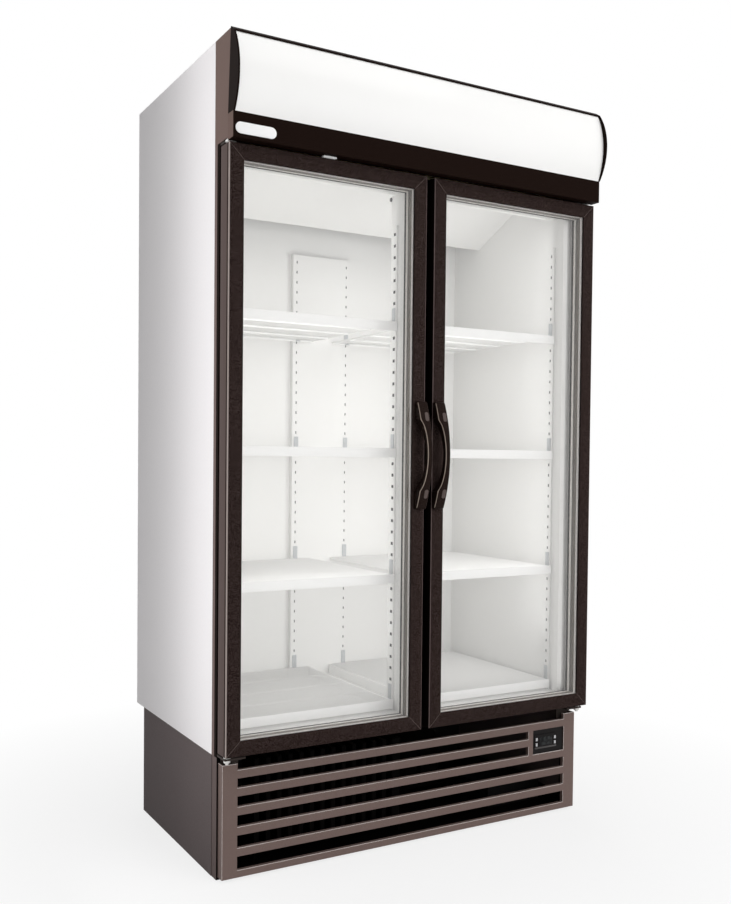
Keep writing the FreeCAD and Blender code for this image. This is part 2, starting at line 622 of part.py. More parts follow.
def add_slots(body, plane, across, low, high, first, pitch, count):
    """A column of slots in a body, from the first one up; across is the middle of their width."""
    slot = rectangle(across - s.slot_width / 2, first - s.slot_height / 2, across + s.slot_width / 2,
                     first + s.slot_height / 2)
    pocket = add_pocket(body, plane, slot, low, high)
    return repeat(body, [pocket], "Z", pitch, count)


def channel(name, plane, across, low, high):
    """A plain vertical channel; across is the middle of its width."""
    half = s.pilaster_width / 2
    return prism(name, plane, rectangle(across - half, FLOOR, across + half, PILASTER_HIGH), low, high)


WALL_LINE = FRONT + s.wall_pilaster_set_back
POST_LINE = FRONT + s.post_pilaster_set_back
REAR_FACE = INNER_BACK - s.rear_panel_depth
OUTER_LINE = INNER_HALF - s.outer_pilaster_inset
WALL_FACE = INNER_HALF - s.pilaster_depth
POST_FACE = POST_HALF + s.pilaster_depth
channels = []
for side in (-1, 1):
    wall = channel(f"wall_channel_{side}", "YZ", WALL_LINE, *span(side, WALL_FACE, INNER_HALF))
    add_slots(wall, "YZ", WALL_LINE, *span(side, WALL_FACE - s.overrun, WALL_FACE + s.slot_depth), SLOT_FIRST,
              s.slot_pitch, SLOT_COUNT)
    post = channel(f"post_channel_{side}", "YZ", POST_LINE, *span(side, POST_HALF, POST_FACE))
    add_slots(post, "YZ", POST_LINE, *span(side, POST_FACE - s.slot_depth, POST_FACE + s.overrun), SLOT_FIRST,
              s.slot_pitch, SLOT_COUNT)
    rear = channel(f"rear_channel_{side}", "XZ", OUTER_LINE * side, REAR_FACE, INNER_BACK)
    add_slots(rear, "XZ", OUTER_LINE * side, REAR_FACE - s.overrun, REAR_FACE + s.slot_depth,
              SLOT_FIRST + s.slot_pitch * (TIER_SLOTS - 1), TIER, s.tiers - 1)
    channels += [wall, post, rear]
keep(group("shelf_pilasters", channels), "shelf_pilasters")

PANEL_HALF = s.rear_panel_width / 2
rear_outline = [
    (-PANEL_HALF, INNER_BACK), (-PANEL_HALF, REAR_FACE), (PANEL_HALF, REAR_FACE), (PANEL_HALF, INNER_BACK),
    (PANEL_HALF - s.rear_panel_sheet, INNER_BACK),
    (PANEL_HALF - s.rear_panel_sheet, REAR_FACE + s.rear_panel_sheet),
    (s.rear_panel_sheet - PANEL_HALF, REAR_FACE + s.rear_panel_sheet),
    (s.rear_panel_sheet - PANEL_HALF, INNER_BACK),
]
rear_panel = prism("rear_slot_panel", "XY", rear_outline, FLOOR, PILASTER_HIGH)
for side in (-1, 1):
    add_slots(rear_panel, "XZ", s.rear_column_offset * side, REAR_FACE - s.overrun,
              REAR_FACE + s.rear_panel_sheet + s.overrun, SLOT_FIRST, s.slot_pitch, SLOT_COUNT)
keep(rear_panel, "rear_slot_panel")


# Shelves: wire grids with a sheet lip along the front, and clips that carry them

SHELF_INNER = POST_FACE + s.shelf_play
SHELF_OUTER = WALL_FACE - s.shelf_play
SHELF_FRONT = FRONT + s.shelf_front
SHELF_BACK = REAR_FACE - s.shelf_play
WIRE_ROOM = SHELF_OUTER - SHELF_INNER - s.shelf_rim * 2
WIRE_COUNT = whole((WIRE_ROOM + s.wire_pitch - s.wire_gap) / s.wire_pitch)


def wire_shelf(name, side, top, rail_depth):
    """A grid of front-to-back wires in a rim, with a lip in front; a deck has side rails."""
    left, right = span(side, SHELF_INNER, SHELF_OUTER)
    under = top - s.shelf_thickness
    body = prism(name, "XY", rectangle(left, SHELF_FRONT, right, SHELF_BACK), under, top)
    add_pad(body, "XZ", rectangle(left, top - s.shelf_lip, right, under), SHELF_FRONT,
            SHELF_FRONT + s.lip_sheet)
    if rail_depth:
        for low_x, high_x in ((left, left + s.lip_sheet), (right - s.lip_sheet, right)):
            rail = rectangle(SHELF_FRONT + s.lip_sheet, top - rail_depth, SHELF_BACK, under)
            add_pad(body, "YZ", rail, low_x, high_x)
    first = left + ((right - left) - s.wire_pitch * (WIRE_COUNT - 1)) / 2 - s.wire_gap / 2
    opening = rectangle(first, SHELF_FRONT + s.shelf_rim, first + s.wire_gap, SHELF_BACK - s.shelf_rim)
    gap = add_pocket(body, "XY", opening, under - s.overrun, top + s.overrun)
    repeat(body, [gap], "X", s.wire_pitch, WIRE_COUNT)
    return body


tiers = (("lower", 1), ("middle", 2), ("upper", 3))
for side, bay in ((-1, "left"), (1, "right")):
    for tier, step in tiers:
        node = f"shelf_{bay}_{tier}"
        keep(wire_shelf(node, side, DECK_TOP + TIER * step, None), node)
decks = [wire_shelf(f"deck_{side}", side, DECK_TOP, s.deck_rise) for side in (-1, 1)]
keep(group("floor_decks", decks), "floor_decks")


def clip_profile(face, reach, seat):
    """An upright tab on a channel's face, with a ledge that reaches under the shelf."""
    tab = face + (s.clip_sheet if reach > 0 else -s.clip_sheet)
    tip = face + (s.clip_ledge if reach > 0 else -s.clip_ledge)
    return [
        (face, seat - s.clip_sheet), (tip, seat - s.clip_sheet), (tip, seat), (tab, seat),
        (tab, seat + s.clip_rise), (face, seat + s.clip_rise),
    ]


clips = []
CLIP_HALF = s.clip_width / 2
for side in (-1, 1):
    for tier, step in tiers:
        seat = DECK_TOP + TIER * step - s.shelf_thickness
        clips.append(prism(f"clip_wall_{side}_{tier}", "XZ", clip_profile(WALL_FACE * side, -side, seat),
                           WALL_LINE - CLIP_HALF, WALL_LINE + CLIP_HALF))
        clips.append(prism(f"clip_post_{side}_{tier}", "XZ", clip_profile(POST_FACE * side, side, seat),
                           POST_LINE - CLIP_HALF, POST_LINE + CLIP_HALF))
        for column in (s.rear_column_offset * side, OUTER_LINE * side):
            clips.append(prism(f"clip_rear_{side}_{tier}", "YZ", clip_profile(REAR_FACE, -1, seat),
                               column - CLIP_HALF, column + CLIP_HALF))
keep(group("shelf_clips", clips), "shelf_clips")


# Fans: pitched blades on a hub, and a motor held over the fan by a strap with two legs

SHAFT_RADIUS = s.shaft_diameter / 2
HUB_BORE_DEPTH = s.hub_height / 2
MOTOR_LOW = s.fan_gap + s.hub_height + s.motor_gap
MOTOR_HIGH = MOTOR_LOW + s.motor_length


def fan_rotor(name, diameter):
    """Pitched blades round a hub, on the Z axis; the hub's shaft hole is open at the top."""
    hub = s.hub_diameter / 2
    bore = SHAFT_RADIUS + s.shaft_play
    body = lathe(name, [
        (ZERO, ZERO), (hub, ZERO), (hub, s.hub_height), (bore, s.hub_height), (bore, HUB_BORE_DEPTH),
        (ZERO, HUB_BORE_DEPTH),
    ])
    paddle = sketch_on(body, "XY", s.hub_height / 2)
    paddle.AttachmentOffset = FreeCAD.Placement(
        FreeCAD.Vector(), FreeCAD.Rotation(FreeCAD.Vector(1, 0, 0), s.blade_pitch.value))
    bind(paddle, "AttachmentOffset.Rotation.Angle", s.blade_pitch)
    root_half = diameter * s.blade_root_share / 2
    tip_half = diameter * s.blade_tip_share / 2
    tip = diameter / 2
    draw(paddle, [
        (hub - s.hub_sink, -root_half), (tip - diameter * s.blade_sweep_share, -tip_half), (tip, tip_half),
        (hub - s.hub_sink, root_half),
    ])
    blade = body.newObject("PartDesign::Pad", f"{name}_blade")
    blade.Profile = paddle
    bind(blade, "Length", s.blade_thickness)
    axle = next(part for part in body.Origin.OriginFeatures if part.Role == "Z_Axis")
    turn_about(body, blade, (axle, [""]), s.blade_count)
    return body


def fan_motor(name, diameter):
    """A motor over a fan on the Z axis: its shaft points down and its strap's legs stand at Z zero."""
    leg = diameter / 2 + s.motor_leg_clearance
    half_bar = s.motor_bar / 2
    strap = [
        (-leg - s.motor_strap, ZERO), (-leg, ZERO), (-leg, MOTOR_HIGH), (leg, MOTOR_HIGH), (leg, ZERO),
        (leg + s.motor_strap, ZERO), (leg + s.motor_strap, MOTOR_HIGH + s.motor_strap),
        (-leg - s.motor_strap, MOTOR_HIGH + s.motor_strap),
    ]
    can = cylinder(f"{name}_can", (0, 0, MOTOR_LOW), s.motor_diameter / 2, s.motor_length)
    shaft_low = s.fan_gap + HUB_BORE_DEPTH + s.shaft_end_play
    shaft = cylinder(f"{name}_shaft", (0, 0, shaft_low), SHAFT_RADIUS, MOTOR_LOW - shaft_low)
    return fuse(name, prism(f"{name}_strap", "XZ", strap, -half_bar, half_bar), can, shaft)


def lean(piece, spot, angle):
    """Leans a piece back about -X by an angle, with its own origin at a place."""
    turn = FreeCAD.Rotation(FreeCAD.Vector(-1, 0, 0), angle.value)
    piece.Placement = FreeCAD.Placement(FreeCAD.Vector(), turn)
    bind(piece, "Placement.Rotation.Angle", angle)
    place(piece, spot)


# Evaporator: a sloping cover with two fan guards, the fans above it, and the finned coil behind

COVER_RUN = s.cover_reach - s.header_depth
COVER_FALL = s.cover_back_drop - s.cover_front_drop
COVER_LENGTH = root(COVER_RUN * COVER_RUN + COVER_FALL * COVER_FALL)
COVER_ANGLE = slope_angle(COVER_FALL, COVER_RUN)
COVER_TOP = CEILING - s.cover_front_drop
EVAPORATOR_FAN_X = INNER_HALF * s.evaporator_fan_share


def above_cover(across, along, rise):
    """The place of a point that lies along the sloping cover and a rise square to it."""
    level = COVER_RUN / COVER_LENGTH
    steep = COVER_FALL / COVER_LENGTH
    return across, HEADER_BACK + along * level + rise * steep, COVER_TOP - along * steep + rise * level


cover_face = rectangle(-INNER_HALF, ZERO, INNER_HALF, COVER_LENGTH)
cover = prism("evaporator_cover", "XY", cover_face, ZERO, s.cover_sheet)
for side in (-1, 1):
    left, right = span(side, INNER_HALF - s.cover_sheet, INNER_HALF)
    add_pad(cover, "XY", rectangle(left, ZERO, right, COVER_LENGTH), s.cover_sheet, s.cover_flange)
back_flange = rectangle(s.cover_sheet - INNER_HALF, COVER_LENGTH - s.cover_sheet, INNER_HALF - s.cover_sheet,
                        COVER_LENGTH)
add_pad(cover, "XY", back_flange, s.cover_sheet, s.cover_flange)
guard_share = tangent(term(180) / s.guard_slots)
guard_slot = [
    (s.guard_inner_radius, s.guard_spoke / 2 - s.guard_inner_radius * guard_share),
    (s.guard_outer_radius, s.guard_spoke / 2 - s.guard_outer_radius * guard_share),
    (s.guard_outer_radius, s.guard_outer_radius * guard_share - s.guard_spoke / 2),
    (s.guard_inner_radius, s.guard_inner_radius * guard_share - s.guard_spoke / 2),
]
for side in (-1, 1):
    centre = (EVAPORATOR_FAN_X * side, s.evaporator_fan_along)
    slot = add_pocket(cover, "XY", guard_slot, -s.overrun, s.cover_sheet + s.overrun, centre)
    turn_about(cover, slot, (slot.Profile[0], ["N_Axis"]), s.guard_slots)
lean(cover, above_cover(ZERO, ZERO, ZERO), COVER_ANGLE)
keep(cover, "evaporator_cover")

motors = []
for side, hand in ((-1, "left"), (1, "right")):
    across = EVAPORATOR_FAN_X * side
    rotor = fan_rotor(f"evaporator_fan_{hand}", s.evaporator_fan_diameter)
    lean(rotor, above_cover(across, s.evaporator_fan_along, s.cover_sheet + s.fan_gap), COVER_ANGLE)
    keep(rotor, f"evaporator_fan_{hand}")
    motor = fan_motor(f"evaporator_motor_{hand}", s.evaporator_fan_diameter)
    lean(motor, above_cover(across, s.evaporator_fan_along, s.cover_sheet), COVER_ANGLE)
    motors.append(motor)
keep(group("evaporator_fan_motors", motors), "evaporator_fan_motors")


def finned_block(name, left, right, front, back, low, high, fins, gap, depth):
    """A coil block with upright fins cut into its front face."""
    body = prism(name, "XY", rectangle(left, front, right, back), low, high)
    pitch = (right - left - gap) / fins
    first = left + gap / 2
    slit = add_pocket(body, "XY", rectangle(first, front - s.overrun, first + gap, front + depth),
                      low - s.overrun, high + s.overrun)
    repeat(body, [slit], "X", pitch, fins)
    return body


COIL_HALF = INNER_HALF - s.coil_end_gap
COIL_FRONT = FRONT + s.coil_front
COIL_BACK = COIL_FRONT + s.coil_depth
COIL_LOW = CEILING - s.coil_drop
coil_block = finned_block("coil_block", -COIL_HALF, COIL_HALF, COIL_FRONT, COIL_BACK, COIL_LOW,
                          COIL_LOW + s.coil_height, s.coil_fins, s.coil_fin_gap, s.coil_fin_depth)
coil_ends = []
for side in (-1, 1):
    left, right = span(side, COIL_HALF, COIL_HALF + s.coil_end_plate)
    coil_ends.append(box(f"coil_end_{side}", (left, COIL_FRONT, COIL_LOW), (right, COIL_BACK, CEILING)))
keep(fuse("evaporator_coil", coil_block, *coil_ends), "evaporator_coil")


# Base: side panels, a pan with corner posts, and a louvred rear cover

BASE_BACK = FRONT + s.base_depth
sides = [
    prism(f"base_side_{side}", "YZ", rectangle(FRONT, ZERO, BASE_BACK, BASE_TOP), *span(side, SKIN, HALF))
    for side in (-1, 1)
]
keep(group("base_side_panels", sides), "base_side_panels")

PAN_BACK = BASE_BACK - s.sheet
pan = prism("base_pan", "XZ", [
    (-SKIN, ZERO), (SKIN, ZERO), (SKIN, s.pan_flange), (SKIN - s.pan_sheet, s.pan_flange),
    (SKIN - s.pan_sheet, s.pan_sheet), (s.pan_sheet - SKIN, s.pan_sheet), (s.pan_sheet - SKIN, s.pan_flange),
    (-SKIN, s.pan_flange),
], STRIP_FACE, PAN_BACK)
for side in (-1, 1):
    angle = [
        (SKIN * side, STRIP_FACE), (SKIN * side, FRONT), ((SKIN - s.pan_sheet) * side, FRONT),
        ((SKIN - s.pan_sheet) * side, STRIP_FACE + s.pan_sheet),
        ((SKIN - s.corner_post) * side, STRIP_FACE + s.pan_sheet),
        ((SKIN - s.corner_post) * side, STRIP_FACE),
    ]
    add_pad(pan, "XY", angle, s.pan_sheet, BASE_TOP)
keep(pan, "base_pan")

rear_cover = prism("rear_cover", "XZ", rectangle(-SKIN, ZERO, SKIN, BASE_TOP), PAN_BACK, BASE_BACK)
louvres = []
for side in (-1, 1):
    left = SKIN / 2 * side - s.louvre_length / 2
    louvres.append(add_pocket(rear_cover, "XZ", rectangle(left, s.louvre_rise, left + s.louvre_length,
                                                          s.louvre_rise + s.louvre_height),
                              PAN_BACK - s.overrun, BASE_BACK + s.overrun))
repeat(rear_cover, louvres, "Z", s.louvre_pitch, s.louvre_count)
keep(rear_cover, "rear_cover")


# Front grille: a pressed plate whose slots are edged with returns and spread towards the floor,
# with a window for the controller

GRILLE_HALF = HALF - s.grille_inset
GRILLE_FACE = FRONT - s.grille_reach
GRILLE_BACK = GRILLE_FACE + s.grille_plate
GRILLE_INNER = GRILLE_HALF - s.grille_stile
WINDOW_LEFT = GRILLE_INNER - s.window_width
bar_tops = [
    s.grille_top - s.grille_notch - s.grille_pitch * i - s.grille_pitch_growth * (i * (i - 1) / 2)
    for i in range(int(s.grille_bars.value))
]
WINDOW_LOW = bar_tops[2]
WINDOW_HIGH = bar_tops[0] - s.grille_bar
grille_face = rectangle(-GRILLE_HALF, s.grille_low, GRILLE_HALF, s.grille_top)
grille = prism("front_grille", "XZ", grille_face, GRILLE_FACE, GRILLE_BACK)
for side in (-1, 1):
    left, right = span(side, GRILLE_HALF - s.grille_plate, GRILLE_HALF)
    add_pad(grille, "XZ", rectangle(left, s.grille_low, right, s.grille_top), GRILLE_BACK, STRIP_FACE)
openings = [rectangle(-GRILLE_INNER, bar_tops[0], GRILLE_INNER, s.grille_top + s.overrun)]
for i, (upper, lower) in enumerate(zip(bar_tops, bar_tops[1:])):
    end = WINDOW_LEFT - s.window_post if lower.value >= WINDOW_LOW.value else GRILLE_INNER
    openings.append(rectangle(-GRILLE_INNER, lower, end, upper - s.grille_bar))
RETURN_BACK = GRILLE_BACK + s.grille_return
for corners in openings:
    (left, low), (right, high) = corners[0], corners[2]
    rim = rectangle(left - s.grille_plate, low - s.grille_plate, right + s.grille_plate,
                    high + s.grille_plate if high.value < s.grille_top.value else s.grille_top)
    add_pad(grille, "XZ", rim, GRILLE_BACK, RETURN_BACK)
openings.append(rectangle(WINDOW_LEFT, WINDOW_LOW, GRILLE_INNER, WINDOW_HIGH))
for opening in openings:
    add_pocket(grille, "XZ", opening, GRILLE_FACE - s.overrun, RETURN_BACK + s.overrun)
keep(grille, "front_grille")


# Controller: a plate behind the window, a raised block in it, and four push buttons

BLOCK_LEFT = WINDOW_LEFT + s.bezel_block_inset
BLOCK_RIGHT = BLOCK_LEFT + s.bezel_block_width
BLOCK_MIDDLE = (WINDOW_LOW + WINDOW_HIGH) / 2
BLOCK_LOW = BLOCK_MIDDLE - s.bezel_block_height / 2
BLOCK_HIGH = BLOCK_MIDDLE + s.bezel_block_height / 2
BLOCK_FACE = GRILLE_BACK - s.bezel_block_depth
HOUSING_FACE = GRILLE_BACK + s.bezel_plate
BUTTON_BACK = BLOCK_FACE - s.button_proud + s.button_length
controller = prism("controller", "XZ", rectangle(WINDOW_LEFT - s.bezel_lap, WINDOW_LOW - s.bezel_lap,
                                                 GRILLE_INNER + s.bezel_lap, WINDOW_HIGH + s.bezel_lap),
                   GRILLE_BACK, HOUSING_FACE)
block_face = rectangle(BLOCK_LEFT, BLOCK_LOW, BLOCK_RIGHT, BLOCK_HIGH)
add_pad(controller, "XZ", block_face, BLOCK_FACE, GRILLE_BACK)
add_pad(controller, "XZ", block_face, HOUSING_FACE, HOUSING_FACE + s.bezel_housing)
WELL_FLOOR = BUTTON_BACK + s.button_travel + s.button_stop_play
BUTTON_LEFTS = {"left": BLOCK_LEFT + s.button_edge, "right": BLOCK_RIGHT - s.button_edge - s.button_width}
for hand, left in BUTTON_LEFTS.items():
    for level, up in (("upper", 1), ("lower", -1)):
        middle = BLOCK_MIDDLE + s.button_spread / 2 * up
        low = middle - s.button_height / 2
        high = middle + s.button_height / 2
        right = left + s.button_width
        play = s.button_play
        well = rectangle(left - play, low - play, right + play, high + play)
        add_pocket(controller, "XZ", well, BLOCK_FACE - s.overrun, WELL_FLOOR)
        node = f"button_{hand}_{level}"
        button_face = rectangle(left, low, right, high)
        keep(prism(node, "XZ", button_face, BLOCK_FACE - s.button_proud, BUTTON_BACK), node)
keep(controller, "controller")


# Machinery on the pan: condenser with its fan, compressor and drain pan

COND_LEFT = s.condenser_side_gap - SKIN
COND_RIGHT = COND_LEFT + s.condenser_width
COND_FRONT = FRONT + s.condenser_front
COND_BACK = COND_FRONT + s.condenser_depth
COND_LOW = s.pan_sheet + s.condenser_lift
COND_HIGH = COND_LOW + s.condenser_height
COND_MIDDLE = (COND_LEFT + COND_RIGHT) / 2
COND_CENTRE = (COND_LOW + COND_HIGH) / 2
SHROUD_BACK = COND_BACK + s.shroud_sheet
block = finned_block("condenser_block", COND_LEFT, COND_RIGHT, COND_FRONT, COND_BACK, COND_LOW, COND_HIGH,
                     s.condenser_fins, s.condenser_fin_gap, s.condenser_fin_depth)
ends = [
    box("condenser_end_left", (COND_LEFT - s.condenser_end_plate, COND_FRONT, s.pan_sheet),
        (COND_LEFT, SHROUD_BACK, COND_HIGH)),
    box("condenser_end_right", (COND_RIGHT, COND_FRONT, s.pan_sheet),
        (COND_RIGHT + s.condenser_end_plate, SHROUD_BACK, COND_HIGH)),
]
shroud_plate = box("shroud_plate", (COND_LEFT, COND_BACK, s.pan_sheet), (COND_RIGHT, SHROUD_BACK, COND_HIGH))
shroud_hole = cylinder("shroud_hole", (COND_MIDDLE, COND_BACK - s.overrun, COND_CENTRE),
                       s.condenser_fan_diameter / 2 - s.shroud_play, s.shroud_sheet + s.overrun * 2, "Y")
shroud = cut("shroud", shroud_plate, shroud_hole)
keep(fuse("condenser", block, *ends, shroud), "condenser")

QUARTER_TURN = term(90)
condenser_fan = fan_rotor("condenser_fan", s.condenser_fan_diameter)
lean(condenser_fan, (COND_MIDDLE, SHROUD_BACK + s.fan_gap, COND_CENTRE), QUARTER_TURN)
keep(condenser_fan, "condenser_fan")
condenser_motor = fan_motor("condenser_fan_motor", s.condenser_fan_diameter)
lean(condenser_motor, (COND_MIDDLE, SHROUD_BACK, COND_CENTRE), QUARTER_TURN)
keep(condenser_motor, "condenser_fan_motor")

COMP_X = SKIN - s.compressor_side_gap
COMP_Y = FRONT + s.compressor_set_back
PLATE_LOW = s.pan_sheet + s.compressor_foot_lift
CAN_LOW = PLATE_LOW + s.foot_plate_sheet
can = lathe("compressor_can", [
    (ZERO, ZERO), (s.compressor_radius, ZERO), (s.compressor_radius, s.compressor_height - s.compressor_dome),
    (s.compressor_radius - s.compressor_shoulder, s.compressor_height - s.compressor_shoulder),
    (s.compressor_crown, s.compressor_height), (ZERO, s.compressor_height),
])
place(can, (COMP_X, COMP_Y, CAN_LOW))
foot_x = s.foot_plate_length / 2
foot_y = s.foot_plate_width / 2
plate = box("compressor_plate", (COMP_X - foot_x, COMP_Y - foot_y, PLATE_LOW),
            (COMP_X + foot_x, COMP_Y + foot_y, CAN_LOW))
mounts = []
half_mount = s.foot_mount / 2
for i in (-1, 1):
    for j in (-1, 1):
        mount_x = COMP_X + (foot_x - half_mount) * i
        mount_y = COMP_Y + (foot_y - half_mount) * j
        mounts.append(box(f"compressor_mount_{i}_{j}",
                          (mount_x - half_mount, mount_y - half_mount, s.pan_sheet),
                          (mount_x + half_mount, mount_y + half_mount, PLATE_LOW)))
terminal_front = COMP_Y - s.compressor_radius - s.terminal_depth / 2
terminal_low = CAN_LOW + s.terminal_height / 2
terminal = box("compressor_terminal", (COMP_X - s.terminal_width / 2, terminal_front, terminal_low),
               (COMP_X + s.terminal_width / 2, COMP_Y, terminal_low + s.terminal_height))
keep(fuse("compressor", can, plate, *mounts, terminal), "compressor")

DRAIN_RIGHT = SKIN - s.drain_side_gap
DRAIN_LEFT = DRAIN_RIGHT - s.drain_width
DRAIN_FRONT = FRONT + s.drain_front
DRAIN_BACK = DRAIN_FRONT + s.drain_depth
drain = prism("drain_pan", "XY", rectangle(DRAIN_LEFT, DRAIN_FRONT, DRAIN_RIGHT, DRAIN_BACK), s.pan_sheet,
              s.pan_sheet + s.drain_height)
drain_well = rectangle(DRAIN_LEFT + s.drain_wall, DRAIN_FRONT + s.drain_wall, DRAIN_RIGHT - s.drain_wall,
                       DRAIN_BACK - s.drain_wall)
add_pocket(drain, "XY", drain_well, s.pan_sheet + s.drain_wall, s.pan_sheet + s.drain_height + s.overrun)
keep(drain, "drain_pan")


def checked_and_written():
    doc.recompute()
    for thing in doc.Objects:
        if "Invalid" in thing.State or "Error" in thing.State:
            raise RuntimeError(f"{thing.Name}: {thing.State}")
    for piece in subparts:
        if piece.Shape.isNull() or not piece.Shape.isValid():
            raise RuntimeError(f"{piece.Label}: shape is missing or not valid")
    os.makedirs("parts", exist_ok=True)
    for piece in subparts:
        piece.Shape.exportStep(f"parts/{piece.Label}.step")


checked_and_written()
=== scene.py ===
import json
import math

import bmesh
import bpy
from mathutils import Matrix, Vector


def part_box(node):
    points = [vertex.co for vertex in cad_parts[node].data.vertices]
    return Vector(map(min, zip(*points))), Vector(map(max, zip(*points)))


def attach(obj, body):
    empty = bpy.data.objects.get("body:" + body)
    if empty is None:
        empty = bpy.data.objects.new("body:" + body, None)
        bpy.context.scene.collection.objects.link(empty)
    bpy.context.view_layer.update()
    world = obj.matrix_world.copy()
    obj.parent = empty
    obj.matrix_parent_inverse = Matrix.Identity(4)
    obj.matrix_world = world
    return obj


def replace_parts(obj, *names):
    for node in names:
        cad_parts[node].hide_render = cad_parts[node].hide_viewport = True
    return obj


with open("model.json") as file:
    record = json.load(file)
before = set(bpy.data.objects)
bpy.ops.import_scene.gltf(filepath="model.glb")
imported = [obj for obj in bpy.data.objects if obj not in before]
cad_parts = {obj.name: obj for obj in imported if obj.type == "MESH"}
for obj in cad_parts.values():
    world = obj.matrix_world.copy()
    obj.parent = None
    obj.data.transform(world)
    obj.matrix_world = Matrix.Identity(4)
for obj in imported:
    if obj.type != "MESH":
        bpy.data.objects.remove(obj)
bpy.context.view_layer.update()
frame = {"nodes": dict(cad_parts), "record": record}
nodes = frame["nodes"]

# Outer cabinet: white enamelled steel sheets, folded and hung round the foam.
# The enamel is smooth, with the faint orange-peel of a sprayed and baked coat.

coat_finish = bpy.data.node_groups.new("coat_finish", "ShaderNodeTree")
for socket, kind, value in (
    ("Colour", "NodeSocketColor", (0.8, 0.8, 0.8, 1)),
    ("Grain Colour", "NodeSocketColor", (0.7, 0.7, 0.7, 1)),
    ("Grain Scale", "NodeSocketFloat", 300.0),
    ("Grain Share", "NodeSocketFloat", 0.3),
    ("Roughness", "NodeSocketFloat", 0.4),
    ("Roughness Spread", "NodeSocketFloat", 0.1),
    ("Relief", "NodeSocketFloat", 0.1),
    ("Edge Radius", "NodeSocketFloat", 0.001),
):
    coat_finish.interface.new_socket(socket, in_out="INPUT", socket_type=kind).default_value = value
for socket, kind in (
    ("Colour", "NodeSocketColor"),
    ("Roughness", "NodeSocketFloat"),
    ("Normal", "NodeSocketVector"),
):
    coat_finish.interface.new_socket(socket, in_out="OUTPUT", socket_type=kind)


def add_node(tree, kind, settings=None, **values):
    """A shader node with its menu settings, and values or links for its sockets: by name, or n and a number."""
    node = tree.nodes.new(kind)
    for setting, choice in (settings or {}).items():
        setattr(node, setting, choice)
    for name, value in values.items():
        by_place = name[0] == "n" and name[1:].isdigit()
        socket = node.inputs[int(name[1:]) if by_place else name.replace("_", " ")]
        if isinstance(value, bpy.types.NodeSocket):
            tree.links.new(value, socket)
        else:
            socket.default_value = value
    return node


given = coat_finish.nodes.new("NodeGroupInput").outputs
place = add_node(coat_finish, "ShaderNodeTexCoord").outputs["Object"]
grain = add_node(coat_finish, "ShaderNodeTexNoise", Vector=place, Scale=given["Grain Scale"], Detail=2.0)
cloud = add_node(coat_finish, "ShaderNodeTexNoise", Vector=place, Scale=7.0, Detail=3.0)
speck = add_node(coat_finish, "ShaderNodeMapRange", Value=grain.outputs[0], From_Min=0.42, From_Max=0.68,
                 To_Min=0.0, To_Max=given["Grain Share"])
shade = add_node(coat_finish, "ShaderNodeMix", {"data_type": "RGBA"}, n0=speck.outputs[0], n6=given["Colour"],
                 n7=given["Grain Colour"])
gloss = add_node(coat_finish, "ShaderNodeMath", {"operation": "MULTIPLY_ADD"}, n0=cloud.outputs[0],
                 n1=given["Roughness Spread"], n2=given["Roughness"])
edge = add_node(coat_finish, "ShaderNodeBevel", {"samples": 4}, Radius=given["Edge Radius"])
peel = add_node(coat_finish, "ShaderNodeBump", Strength=given["Relief"], Distance=0.0004,
                Height=grain.outputs[0], Normal=edge.outputs[0])
taken = coat_finish.nodes.new("NodeGroupOutput")
coat_finish.links.new(shade.outputs[2], taken.inputs["Colour"])
coat_finish.links.new(gloss.outputs[0], taken.inputs["Roughness"])
coat_finish.links.new(peel.outputs[0], taken.inputs["Normal"])


def coated(name, colour, grain_colour, grain, roughness, relief, edge, **shader):
    """A painted or moulded finish: grain is its scale and share, roughness its least value and spread."""
    made = bpy.data.materials.new(name)
    made.use_nodes = True
    surface = made.node_tree.nodes["Principled BSDF"]
    coat = add_node(made.node_tree, "ShaderNodeGroup", {"node_tree": coat_finish}, Colour=(*colour, 1),
                    Grain_Colour=(*grain_colour, 1), Grain_Scale=grain[0], Grain_Share=grain[1],
                    Roughness=roughness[0], Roughness_Spread=roughness[1], Relief=relief, Edge_Radius=edge)
    made.node_tree.links.new(coat.outputs["Colour"], surface.inputs["Base Color"])
    made.node_tree.links.new(coat.outputs["Roughness"], surface.inputs["Roughness"])
    made.node_tree.links.new(coat.outputs["Normal"], surface.inputs["Normal"])
    for socket, value in shader.items():
        surface.inputs[socket.replace("_", " ")].default_value = value
    return made


def dress(finish, *names):
    """Gives a finish to pieces of the frame that keep their own shape."""
    for name in names:
        for slot in nodes[name].material_slots:
            slot.material = finish


white_enamel = coated("white_enamel", (0.85, 0.825, 0.835), (0.79, 0.77, 0.78), grain=(160, 0.25),
                      roughness=(0.30, 0.12), relief=0.04, edge=0.0015, Specular_IOR_Level=0.16)
dress(white_enamel, "left_side_panel", "right_side_panel", "top_panel", "back_panel")


# Inner liner and centre post: white sheet, brighter and smoother than the outside.
# The liner is folded to a box, the post stands between the doors and is screwed to sill and lintel.

liner_enamel = coated("liner_enamel", (0.82, 0.815, 0.80), (0.78, 0.775, 0.76), grain=(120, 0.2),
                      roughness=(0.38, 0.1), relief=0.03, edge=0.001, Specular_IOR_Level=0.25)
dress(liner_enamel, "inner_liner", "mullion_post", "evaporator_cover")


def add_piece(name, shape, finish, body):
    """Turns a shape into a finished piece that rides on one body of the freezer."""
    for face in shape.faces:
        face.smooth = True
    mesh = bpy.data.meshes.new(name)
    shape.to_mesh(mesh)
    shape.free()
    mesh.set_sharp_from_angle(angle=math.radians(35))
    mesh.materials.append(finish)
    piece = bpy.data.objects.new(name, mesh)
    bpy.context.collection.objects.link(piece)
    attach(piece, body)
    return piece


